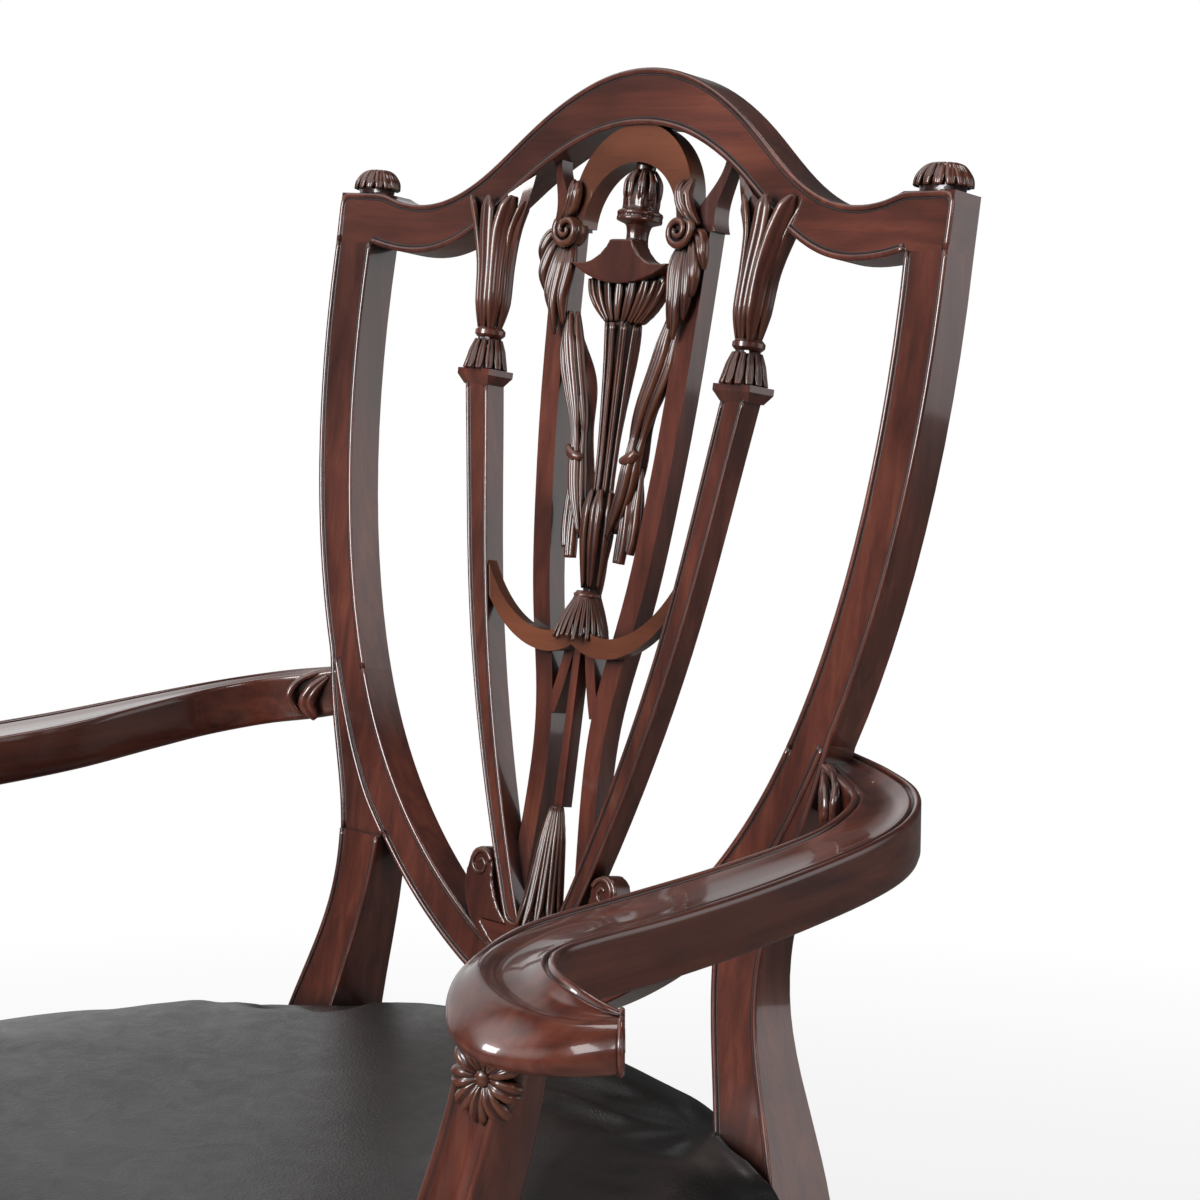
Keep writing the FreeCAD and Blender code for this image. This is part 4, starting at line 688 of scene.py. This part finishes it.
def make_urn_carving():
    """Gadroons round the front of the bowl, and leaves round the cup of the finial."""
    carving = Carving()
    bowl = ((-71, 14.0), (-64, 22.0), (-56, 28.5), (-47, 31.5))
    for angle in fan(9, 1.25):
        out = (math.sin(angle), -math.cos(angle))
        points = [
            back(reach * out[0], URN_AXIS + 9.0 * out[1] * (0.75 + 0.25 * reach / 31.5), v)
            for v, reach in bowl
        ]
        carving.blade(smooth_path(points, 5), [back_direction(*out, 0)],
                      [0.0014, 0.0027, 0.0034, 0.0024], 0.0020)
    cup = ((-2, 9.2), (3, 10.0), (9, 9.6), (15, 6.0))
    round_blades(carving, 0, URN_AXIS, cup, fan(9, 2.6), [0.0014, 0.0022, 0.0022, 0.0012], 0.0014)
    piece_from("urn_gadroons", carving, CARVED)


def make_tassel_strands():
    """Fifteen strands of uneven length, under a round tie."""
    carving = Carving()
    tie = -226
    for i, angle in enumerate(fan(15, 1.7)):
        drop = 24.5 + 1.6 * math.sin(i * 2.3)
        stations = ((tie, 5.2), (-232, 8.4), (-240, 12.6), (tie - drop, 16.0))
        round_blades(carving, 0, 4.5, stations, [angle], [0.0010, 0.0013, 0.0014, 0.0011], 0.0013)
    turns = [2 * math.pi * i / 24 for i in range(25)]
    ring = [back(6.6 * math.cos(turn), 5 + 6.6 * math.sin(turn), tie) for turn in turns]
    carving.tube(ring, [back_direction(0, 0, 1)], [0.0014])
    piece_from("tassel_strands", carving, CARVED)


def scroll_path(side, centre, count, turn, radius, lift):
    """A spiral in the back's plane; each of the last three is its start and its step."""
    points = []
    for step in range(count):
        angle, reach = turn[0] - step * turn[1], radius[0] - step * radius[1]
        u, v = centre[0] + reach * math.cos(angle), centre[1] + reach * math.sin(angle)
        points.append(back(side * u, bow(u) - lift[0] - step * lift[1], v))
    return smooth_path(points, 2)


def make_leaf_sprays(side, label):
    """The scrolled acanthus spray at each side of the urn."""
    carving = Carving()
    centre = (44.5, -20.5)
    scroll = scroll_path(side, centre, 26, (0.6, 0.42), (9.5, 0.32), (3.5, 0.08))
    carving.tube(scroll, [FORWARD], [0.0025, 0.0022, 0.0018, 0.0014])
    eye = [back(side * centre[0], d, centre[1]) for d in (5, 0, -3, -4)]
    carving.tube(eye, [Vector((1, 0, 0))], [0.0085, 0.0085, 0.0080, 0.0050], sides=16)
    lobes = (
        ((53, -17), (47, -8), (45, 1), (47.5, 9)),
        ((49, -14), (43, -6), (41, 2), (42, 8)),
        ((44, -27), (41.5, -40), (43.5, -58), (42, -74)),
        ((47, -28), (47.5, -42), (49, -62), (47, -80)),
        ((50, -27), (52.5, -40), (54.5, -55), (52, -69)),
        ((53, -25), (57, -34), (59.5, -45), (58, -56)),
        ((55, -20), (60, -24), (63, -32), (63.5, -41)),
    )
    widths = [0.0022, 0.0038, 0.0040, 0.0030, 0.0008]
    for order, lobe in enumerate(lobes):
        lift = 1.2 * (order % 2)
        points = [
            back(side * u, bow(u) + 2.5 - lift - 3.5 * math.sin(math.pi * i / 3.6), v)
            for i, (u, v) in enumerate(lobe)
        ]
        carving.blade(smooth_path(points), [FORWARD], widths, 0.0042, 0.55)
    spray = piece_from(f"leaf_spray_{label}", carving, CARVED)
    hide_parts(f"scroll_leaf_{label}")


def make_drapery_folds(side, label):
    """Gathered cloth from the leaf to the pedestal, with a loose end under the knot."""
    carving = Carving()
    broad = [0.0016, 0.0052, 0.0046, 0.0022, 0.0044, 0.0040, 0.0014]
    runs = (
        ((41, -66), (36, -90), (26, -122), (22, -146), (18.5, -168), (11, -192)),
        ((44.5, -72), (41, -96), (31, -122), (25.5, -146), (22.5, -166), (15.5, -188)),
        ((37, -66), (30.5, -92), (21, -124), (18, -148), (14, -174), (8.5, -196)),
    )
    for order, run in enumerate(runs):
        points = [back(side * u, URN_AXIS - 5.5 + 2.4 * min(order, 1), v) for u, v in run]
        widths = [half * (1 - 0.22 * order) for half in broad]
        carving.blade(smooth_path(points), [FORWARD], widths, 0.0044, 0.5)
    tied = ((27.5, -143), (22.5, -147.5), (16, -149))
    knot = [back(side * u, URN_AXIS - 7.0, v) for u, v in tied]
    carving.tube(smooth_path(knot), [FORWARD], [0.0020, 0.0034, 0.0034, 0.0018])
    ends = (
        ((23, -150), (21, -170), (20.5, -192), (19.5, -206)),
        ((26.5, -152), (26.5, -172), (26, -190), (24.5, -200)),
    )
    widths = [0.0016, 0.0032, 0.0044, 0.0046, 0.0040]
    for order, run in enumerate(ends):
        points = [back(side * u, URN_AXIS + 1.6 * order - 2.0, v) for u, v in run]
        carving.blade(smooth_path(points), [FORWARD], widths, 0.0036, 0.5)
    piece_from(f"drapery_folds_{label}", carving, CARVED)


def make_pedestal_reeds():
    """Reeds down the pedestal and the leaves that wrap its foot."""
    carving = Carving()
    reeds = ((-72, 11.0), (-100, 8.6), (-140, 6.6), (-170, 6.0))
    widths = [0.0022, 0.0020, 0.0016, 0.0013]
    round_blades(carving, 0, URN_AXIS, reeds, fan(5, 1.3), widths, 0.0016)
    wrap = ((-166, 6.6), (-178, 8.6), (-196, 8.2), (-222, 5.4))
    widths = [0.0013, 0.0042, 0.0036, 0.0014]
    round_blades(carving, 0, URN_AXIS - 1, wrap, fan(4, 1.4), widths, 0.0028)
    piece_from("pedestal_reeds", carving, CARVED)


def make_husk_leaves():
    """Long leaves of the wheat husk over the shoe."""
    carving = Carving()
    stations = ((-347, 3.5), (-365, 6.6), (-388, 9.6), (-404, 12.0), (-415, 15.5))
    widths = [0.0010, 0.0026, 0.0028, 0.0026, 0.0008]
    round_blades(carving, 0, SPLAT_AXIS, stations, fan(7, 1.5), widths, 0.0024)
    piece_from("husk_leaves", carving, CARVED)


def make_volute_scroll(side, label):
    """The raised line that winds into a volute's eye."""
    carving = Carving()
    scroll = scroll_path(side, (50, -387), 24, (math.pi * 0.9, 0.36), (8.6, 0.29), (4.0, 0))
    carving.tube(scroll, [FORWARD], [0.0016, 0.0013, 0.0011], 0.8)
    piece_from(f"volute_scroll_{label}", carving, CARVED)


def make_cap_leaves(side, label):
    """Radial gadroons on the domed corner cap."""
    carving = Carving()
    cap_u, count = 222, 14
    u, d = cap_u * side, bow(cap_u, 10.5)
    up = back_direction(0, 0, 1)
    widths = [0.0012, 0.0026, 0.0034, 0.0024]
    for i in range(count):
        angle = 2 * math.pi * i / count
        out = (math.cos(angle), math.sin(angle))
        points, normals = [], []
        for share, v in ((0.30, 15.2), (0.62, 13.6), (0.92, 8.6), (1.0, 3.4)):
            points.append(back(u + 16.6 * share * out[0], d + 9.2 * share * out[1], v))
            normals.append((up * (1.1 - share) + back_direction(*out, 0) * share).normalized())
        carving.blade(smooth_path(points, 4), normals, widths, 0.0016, 0.3)
    piece_from(f"cap_leaves_{label}", carving, CARVED)


# The arms and their supports


def plan(x, y, z):
    """A point given in the chair's plan and height, in millimetres from the back's plane."""
    return Vector((x / 1000, BACK_Y + y / 1000, z / 1000))


ARM_STATIONS = (
    # outer edge, inner edge, height, thickness, round front, fall to the front, dish
    ((184, -31), (184, -55), 668.0, 28, 0.0, 0.0, 1.0),
    ((222, -34.5), (212, -67), 661.5, 28, 0.0, 0.0, 2.5),
    ((253.5, -50), (237, -83), 657.0, 28, 0.0, 0.0, 3.6),
    ((276, -81), (252, -115), 652.5, 28, 0.0, 0.0, 2.6),
    ((288, -125), (256, -150), 648.5, 28, 0.0, 0.0, 1.4),
    ((295, -198), (254.5, -205), 644.0, 28, 0.0, 0.0, 1.0),
    ((298.5, -262), (255, -262), 642.0, 28, 0.0, 0.0, 1.0),
    ((298, -312), (257.5, -316), 641.2, 28, 0.0, 0.0, 1.6),
    ((300, -336), (266, -354), 641.0, 27, 0.15, 1.0, 2.6),
    ((307.5, -350), (279, -384), 640.5, 26, 0.5, 3.0, 3.4),
    ((320, -359), (298, -402), 639.0, 26, 0.9, 7.5, 4.2),
    ((333, -361), (325, -407), 636.0, 24, 1.0, 8.5, 3.6),
    ((342.5, -357), (349, -394), 631.0, 22.5, 1.0, 5.0, 1.6),
    ((347, -352), (363, -369), 627.5, 22.5, 1.0, 0.6, 0.3),
)


def arm_ring(outer, inner, height, thick, front, fall, dish):
    """One cross section of the arm: beads on both top edges, a dished top and a rolled front."""
    width = math.hypot(outer[0] - inner[0], outer[1] - inner[1])
    half, edge_drop, quirk_depth, field_drop = 2.0, 0.9, 1.1, 0.4
    side = [(2.5, -thick), (0.8, -thick + 0.8), (0, -thick + 3), (0, -thick * 0.6),
            (0, -thick * 0.3), (0, -3.2)]
    bead = [(-half * math.cos(turn) + half, half * 0.75 * math.sin(turn) - edge_drop)
            for turn in (0.0, 0.6, 1.2, 1.8, 2.4, 3.0)]
    quirk = [(2 * half + away, -edge_drop - quirk_depth) for away in (0.3, 0.8)]
    slope = [(2 * half + 1.4, -0.5), (2 * half + 3.0, -field_drop)]
    near = side + bead + quirk + slope
    field = [(width * k * (1 - 0.3 * front), -field_drop - dish * math.sin(math.pi * k))
             for k in (0.28, 0.42, 0.58, 0.72)]
    # The rolled form is an ellipse from the top, forwards and down to the underside
    reach, deep = width * 0.62, thick / 2
    far = []
    for i, (x, z) in enumerate(reversed(near)):
        turn = math.pi * (0.40 - 0.90 * i / (len(near) - 1))
        rolled = (reach * math.cos(turn) + width - reach, deep * 1.04 * math.sin(turn) - deep)
        far.append(tuple(a + (b - a) * front for a, b in zip((width - x, z), rolled)))
    ring = []
    for x, z in near + field + far:
        share = x / width
        ring.append((
            outer[0] + (inner[0] - outer[0]) * share, outer[1] + (inner[1] - outer[1]) * share,
            height + z - fall * max(0.0, share) ** 1.5,
        ))
    return ring


def carve_hold_end(carving, side, rim):
    """The scroll and the rim on the end of the hand hold."""
    axis = Vector((side * 0.70, 0.71, 0)).normalized()
    level, upright = Vector((side * 0.71, -0.70, 0)), Vector((0, 0, 1))
    eye = plan(side * 355.2, -360.4, 616)
    steps, turns = 32, 2.1
    scroll = []
    for step in range(steps + 1):
        radius = 7.6 * (1 - 0.8 * step / steps)
        turn = 2 * math.pi * turns * step / steps
        way = level * math.cos(turn) + upright * math.sin(turn)
        scroll.append(eye + way * (radius / 1000))
    carving.tube(smooth_path(scroll, 2), [axis], [0.0016, 0.0013, 0.0009])
    carving.tube(rim + rim[:2], [axis], [0.0013])


def carve_elbow(carving, side):
    """The leaf and the curl on the inner side of the elbow."""
    inwards = Vector((-side * 0.6, -0.8, 0.1)).normalized()
    leaf = [plan(side * x, y, z) for x, y, z in (
        (200, -61, 661), (207, -67, 653), (210, -70, 644), (205, -67, 635),
    )]
    carving.blade(smooth_path(leaf), [inwards], [0.0010, 0.0050, 0.0062, 0.0024], 0.0042, 0.3)
    curl = [plan(side * x, y, z) for x, y, z in (
        (193, -55, 664), (206, -62, 663), (217, -71, 657), (220, -76, 648), (216, -72, 639),
        (209, -64, 637),
    )]
    carving.tube(smooth_path(curl), [inwards], [0.0010, 0.0020, 0.0024, 0.0022, 0.0012])


def make_arm(side, label):
    """The arm, from its root on the stile round the elbow to the rolled hand hold."""
    carving = Carving()
    rings = []
    stations = [(*outer, *inner, *rest) for outer, inner, *rest in ARM_STATIONS]
    for row in smooth_path(stations, 8):
        height, thick, front, fall, dish = row[4:]
        ring = arm_ring(row[0:2], row[2:4], height, thick, min(max(front, 0), 1), fall, dish)
        rings.append([plan(side * x, y, z) for x, y, z in ring])
    carving.rings(rings)
    carve_hold_end(carving, side, rings[-1])
    carve_elbow(carving, side)
    arm = piece_from(f"arm_{label}_moulded", carving, WOOD["y"])
    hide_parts(f"arm_{label}")


SUPPORT_STATIONS = (
    # height, across, ahead, half width, half depth
    (392.5, 283, -398, 16.0, 20.7), (412, 283, -402, 17.5, 23), (449, 283, -402, 17.3, 22.6),
    (491, 284.7, -396, 16.6, 19.8), (534, 289.8, -386, 15.6, 17.2), (572, 297.5, -379, 14.8, 15.4),
    (605, 304, -376, 14.2, 14.2), (622, 305, -376, 14.0, 13.6),
)


def support_ring(half_wide, half_deep):
    """A cross section with beads on the front corners and a flute down the front."""
    front = [(-1.0, -0.86), (-0.97, -0.97), (-0.84, -1.0), (-0.74, -0.95), (-0.70, -0.88),
             (-0.62, -0.87), (-0.50, -0.93), (-0.30, -0.90)]
    rear = [(0.97, -0.76), (0.985, -0.66), (0.985, 0.8), (0.85, 0.97)]
    ring = front + [(0.0, -0.87)] + [(-x, y) for x, y in reversed(front)]
    ring += rear + [(-x, y) for x, y in reversed(rear)]
    return [(x * half_wide, y * half_deep) for x, y in ring]


def make_support(side, label):
    """The arm support, with its moulded front."""
    carving = Carving()
    rings = []
    for height, across, ahead, half_wide, half_deep in smooth_path(SUPPORT_STATIONS, 6):
        ring = support_ring(half_wide, half_deep)
        rings.append([plan(side * (across + x), ahead + y, height) for x, y in ring])
    carving.rings(rings)
    support = piece_from(f"arm_support_{label}_moulded", carving, WOOD["z"])
    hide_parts(f"arm_support_{label}")


def make_flower(side, label):
    """The flower carved on the support under the hand hold."""
    carving = Carving()
    front = Vector((side * 0.28, -1, 0.10)).normalized()
    up = Vector((side * 0.35, 0, 1)).normalized()
    across = up.cross(front).normalized()
    centre = plan(side * 309, -390.5, 600)

    def spot(a, b, lift):
        return centre + across * (a / 1000) + up * (b / 1000) + front * (lift / 1000)

    petals, widths = 9, [0.0014, 0.0042, 0.0052, 0.0034]
    for i in range(petals):
        turn = 2 * math.pi * i / petals
        points = [
            spot(15.5 * share * math.cos(turn), 20.5 * share * math.sin(turn), lift)
            for share, lift in ((0.18, 2.6), (0.5, 3.6), (0.82, 2.2), (1.0, -1.5))
        ]
        carving.blade(smooth_path(points), [front], widths, 0.0032, 0.6)
    button = [spot(0, 0, lift) for lift in (-4, 2, 4.4, 5.4)]
    carving.tube(button, [up], [0.0042, 0.0042, 0.0036, 0.0014], sides=14)
    boss = [spot(0, 0, lift) for lift in (-6, -2, 0.5, 1.2)]
    carving.tube(boss, [up], [0.0148, 0.0148, 0.0138, 0.0100], 1.3, 22)
    piece_from(f"support_flower_{label}", carving, CARVED)


for label, side in SIDES.items():
    make_capital(side, label)
    make_leaf_sprays(side, label)
    make_drapery_folds(side, label)
    make_volute_scroll(side, label)
    make_cap_leaves(side, label)
    eased(f"corner_cap_{label}", voxel=0.0008, rounds=2)
    eased(f"drapery_{label}", voxel=0.0009, rounds=2)
    eased(f"volute_{label}", voxel=0.001, rounds=3)
    make_arm(side, label)
    make_support(side, label)
    make_flower(side, label)
make_urn_carving()
make_tassel_strands()
make_pedestal_reeds()
make_husk_leaves()
for name in ("splat_urn", "urn_pedestal", "tassel", "wheat_husk"):
    eased(name, voxel=0.0008, rounds=2)


# The leather seat

# Heights, and the outline in plan measured from the back's plane, in millimetres
RAIL_TOP = 438.0
SEAT_TOP = 488.5
SKIRT_FOOT = 375.0
SEAT_REAR = -57
SEAT_FRONT = -504
FRONT_HALF = 272
REAR_HALF = 207
SIDE_BULGE = 15
FRONT_BOW = 32
CORNER_CUT = 16
# How far the skin lies outside the frame, and the crown's top inside the sides and the rear
SKIN = 1.5
CROWN_INSET = 112
CROWN_REAR_INSET = 34
RING_POINTS = 220
# The leather ends at these faces of the posts and of the arm supports, in metres
POST_ACROSS = 0.1622
POST_FRONT = 0.1492
SUPPORT_ACROSS = 0.2645
SUPPORT_SPAN = (-0.178, -0.105)
# Where folds run out from: across, ahead and reach
FOLD_CENTRES = ((0.16, 0.145, 0.11), (0.262, -0.14, 0.12))


def arc_points(start, middle, end, count):
    """Points on the circle through three points, without the last."""
    (ax, ay), (bx, by), (cx, cy) = start, middle, end
    d = 2 * (ax * (by - cy) + bx * (cy - ay) + cx * (ay - by))
    ux = ((ax * ax + ay * ay) * (by - cy) + (bx * bx + by * by) * (cy - ay)
          + (cx * cx + cy * cy) * (ay - by)) / d
    uy = ((ax * ax + ay * ay) * (cx - bx) + (bx * bx + by * by) * (ax - cx)
          + (cx * cx + cy * cy) * (bx - ax)) / d
    radius = math.hypot(ax - ux, ay - uy)
    first, last = math.atan2(ay - uy, ax - ux), math.atan2(cy - uy, cx - ux)
    turn = (last - first + math.pi) % (2 * math.pi) - math.pi
    return [
        (ux + radius * math.cos(first + turn * i / count),
         uy + radius * math.sin(first + turn * i / count))
        for i in range(count)
    ]


def softened(start, end, corner, blend=0.42):
    """The middle of a rounded corner, drawn from the chord towards the corner."""
    return [(a + b) / 2 * (1 - blend) + c * blend for a, b, c in zip(start, end, corner)]


def seat_ring(inset, corner, rear_inset, rear_corner, height):
    """The seat's outline at one height, at even spacing."""
    rear, front = SEAT_REAR - rear_inset, SEAT_FRONT + inset
    wide, narrow = FRONT_HALF - inset, REAR_HALF - inset
    rear_point = (narrow - rear_corner, rear)
    side_start = (narrow + (wide - narrow) * rear_corner / (rear - front), rear - rear_corner)
    side_end = (wide - (wide - narrow) * corner / (rear - front), front + corner)
    middle = ((side_start[0] + side_end[0]) / 2 + SIDE_BULGE, (rear + front) / 2)
    front_point = (wide - corner, front - FRONT_BOW * 0.12)
    rear_mid = softened(rear_point, side_start, (narrow, rear))
    front_mid = softened(side_end, front_point, (wide, front))
    half = [(0.0, rear)]
    half += arc_points(rear_point, rear_mid, side_start, 16)
    half += arc_points(side_start, middle, side_end, 40)
    half += arc_points(side_end, front_mid, front_point, 16)
    bow_start = (-front_point[0], front_point[1])
    front_arc = arc_points(bow_start, (0, front - FRONT_BOW), front_point, 80)
    half += [front_point] + front_arc[:39:-1]
    whole = half + [(-x, y) for x, y in reversed(half[1:-1])]
    path = [plan(x, y, 0) for x, y in whole + whole[:1]]
    ring = resampled(path, path_length(path) / RING_POINTS)[:RING_POINTS]
    return [Vector((point.x, point.y, height / 1000)) for point in ring]


def make_seat():
    """The crowned seat: a skirt over the rails, then rings that rise and draw in."""
    crown = (
        # share of the rise, of the inset and of the rounding behind
        (0.0, 0.0, 0.0), (0.2, 0.006, 0.2), (0.4, 0.024, 0.46), (0.57, 0.06, 0.67),
        (0.70, 0.12, 0.84), (0.79, 0.21, 0.95), (0.87, 0.35, 1.0), (0.93, 0.51, 0.95),
        (0.97, 0.73, 0.72), (1.0, 1.0, 0.42),
    )
    rings = [seat_ring(-SKIN, CORNER_CUT, -SKIN, CORNER_CUT, height)
             for height in (SKIRT_FOOT, 395, 415, 430)]
    for up, across, drawn in crown:
        rings.append(seat_ring(
            CROWN_INSET * across - SKIN, CORNER_CUT * (1 + 2 * across ** 0.5),
            CROWN_REAR_INSET * across - SKIN, CORNER_CUT + CROWN_INSET * drawn,
            RAIL_TOP + (SEAT_TOP - RAIL_TOP) * up,
        ))
    carving = Carving()
    carving.rings(rings)
    obj = piece_from("leather_seat", carving, LEATHER)
    remeshed(obj, voxel=0.006, rounds=3)
    puff(obj, 0.007)
    for vert in obj.data.vertices:
        vert.co = crease(vert.co.copy())
    smooth = obj.modifiers.new("smooth", "SUBSURF")
    smooth.levels = smooth.render_levels = 1
    apply_modifiers(obj)
    finish_piece(obj, LEATHER)
    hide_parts("seat_cover", "seat_pad")


def puff(obj, cap):
    """Fills the seat with a cloth simulation; the skirt on the rails stays where it is."""
    steps, skirt_top = 20, 0.441
    group = obj.vertex_groups.new(name="held")
    held = [vert.index for vert in obj.data.vertices if vert.co.z < skirt_top]
    group.add(held, 1.0, "REPLACE")
    cloth = obj.modifiers.new("cloth", "CLOTH")
    cloth.settings.use_pressure = True
    cloth.settings.uniform_pressure_force = 4.0
    cloth.settings.effector_weights.gravity = 0.0
    cloth.settings.vertex_group_mass = "held"
    cloth.settings.quality = 4
    scene = bpy.context.scene
    scene.frame_start, scene.frame_end = 1, steps
    for number in range(1, steps + 1):
        scene.frame_set(number)
    swollen = evaluated(obj)
    obj.modifiers.clear()
    for vert, after in zip(obj.data.vertices, swollen.vertices):
        step = after.co - vert.co
        if step.length > cap:
            step = step.normalized() * cap
        vert.co = vert.co + step
    scene.frame_set(1)


def crease(place):
    """Folds that run in from the posts and supports, and the faces that the leather ends at."""
    top = max(0.0, min(1.0, (place.z - 0.435) / 0.03))
    for x, y, reach in FOLD_CENTRES:
        gap = math.hypot(abs(place.x) - x, place.y - y)
        near = math.exp(-(gap / reach) ** 2)
        angle = math.atan2(place.y - y, abs(place.x) - x)
        wave = math.sin(angle * 11 + 1.3 * noise.noise(place * 18))
        place.z += 0.0009 * wave * near * top * (1 - math.exp(-(gap / 0.018) ** 2))
    place.z += 0.0014 * noise.noise(place * 6) * top
    if SUPPORT_SPAN[0] < place.y < SUPPORT_SPAN[1]:
        place.x = max(-SUPPORT_ACROSS, min(SUPPORT_ACROSS, place.x))
    over, behind = abs(place.x) - POST_ACROSS, place.y - POST_FRONT
    if over > 0 and behind > 0:
        if over < behind:
            place.x = math.copysign(POST_ACROSS, place.x)
        else:
            place.y = POST_FRONT
    return place


make_seat()

# The room

FLOOR_REACH = 4
# The floor fades to white for the camera between these distances from the chair
FADE_FROM, FADE_TO = 0.7, 2.2
STUDIO_BASE = 0.055
WALL_BLUR = 0.10
# Each wall: azimuth and half width in degrees, height at one metre's distance, level
STUDIO_WALLS = (
    (42, 23, 0.08, 1.3), (165, 30, 0.34, 0.95), (-72, 15, 0.6, 1.8), (235, 24, 1.3, 1.8),
)
CHAIR_MIDDLE = (0, 0, 0.7)


def make_floor():
    """A pale floor that keeps the shadow and fades into the white backdrop."""
    mesh = bpy.data.meshes.new("floor")
    corners = ((-1, -1), (1, -1), (1, 1), (-1, 1))
    mesh.from_pydata([(x * FLOOR_REACH, y * FLOOR_REACH, 0) for x, y in corners], [],
                     [(0, 1, 2, 3)])
    floor = new_object("floor", mesh)
    m = Finish("pale_floor")
    rays = m.add("ShaderNodeLightPath")
    pale = m.ramp(m.noise(m.coordinates(), scale=3.0),
                  [(0.3, (0.80, 0.80, 0.80)), (0.7, (0.84, 0.84, 0.84))])
    mirrored = (0.16, 0.15, 0.14)
    m.set(Base_Color=m.mix(rays.outputs["Is Glossy Ray"], pale, mirrored), Roughness=0.7)
    glow = m.add("ShaderNodeEmission", {"Color": (1, 1, 1, 1), "Strength": 1.0})
    place = m.add("ShaderNodeTexCoord").outputs["Object"]
    far = m.add("ShaderNodeVectorMath", {0: place}, operation="LENGTH").outputs["Value"]
    white = m.span(far, FADE_FROM, FADE_TO, 0.58, 1.0)
    share = m.math("MULTIPLY", rays.outputs["Is Camera Ray"], white)
    mixed = m.add("ShaderNodeMixShader", {
        0: share, 1: m.shader.outputs[0], 2: glow.outputs[0],
    })
    m.fill(m.tree.nodes["Material Output"], "Surface", mixed.outputs[0])
    mesh.materials.append(m.material)


def make_studio():
    """A backdrop that is white to the camera, while the lacquer mirrors soft walls in the dark."""
    world = bpy.data.worlds.new("studio")
    bpy.context.scene.world = world
    world.use_nodes = True
    sky = NodeTree(world.node_tree)
    ray = sky.add("ShaderNodeTexCoord").outputs["Generated"]
    light = STUDIO_BASE
    for azimuth, width, height, level in STUDIO_WALLS:
        turn, edge = math.radians(azimuth), math.cos(math.radians(width))
        aim = Vector((math.cos(turn), math.sin(turn), height)).normalized()
        facing = sky.add("ShaderNodeVectorMath", {0: ray, 1: aim}, operation="DOT_PRODUCT")
        wall = sky.add("ShaderNodeMapRange", {
            0: facing.outputs["Value"], 1: edge - WALL_BLUR, 2: edge + WALL_BLUR, 3: 0.0, 4: level,
        }, interpolation_type="SMOOTHSTEP")
        light = sky.math("MAXIMUM", light, wall.outputs[0])
    rays = sky.add("ShaderNodeLightPath")
    shown = sky.add("ShaderNodeMix", {0: rays.outputs["Is Camera Ray"], 2: light, 3: 1.0})
    backdrop = world.node_tree.nodes["Background"]
    sky.fill(backdrop, "Color", (1, 1, 1, 1))
    sky.fill(backdrop, "Strength", shown.outputs[0])


def area_light(name, place, size, power):
    """A soft box that points at the chair's middle; size is its width and height."""
    lamp = bpy.data.lights.new(name, "AREA")
    lamp.shape = "RECTANGLE"
    lamp.size, lamp.size_y = size
    lamp.energy = power
    obj = new_object(name, lamp)
    obj.location = place
    obj.rotation_euler = (Vector(CHAIR_MIDDLE) - obj.location).to_track_quat("-Z", "Y").to_euler()


def make_camera():
    """The camera, at the photograph's viewing angle."""
    camera_data = bpy.data.cameras.new("camera")
    camera_data.sensor_width = 36.0
    camera_data.lens = 82.8
    camera = new_object("camera", camera_data)
    camera.location = (1.1058, -0.855, 0.947)
    camera.rotation_euler = (math.radians(90 - 8.16), 0, math.radians(45.6))
    bpy.context.scene.camera = camera


make_floor()
make_studio()
area_light("key_light", (-0.7, -2.9, 1.9), (1.2, 1.2), 82)
area_light("fill_light", (2.6, -0.6, 2.1), (0.5, 1.4), 16)
area_light("back_light", (0.3, 1.2, 3.0), (0.8, 0.8), 9)
make_camera()

bpy.context.scene.view_settings.view_transform = "Standard"
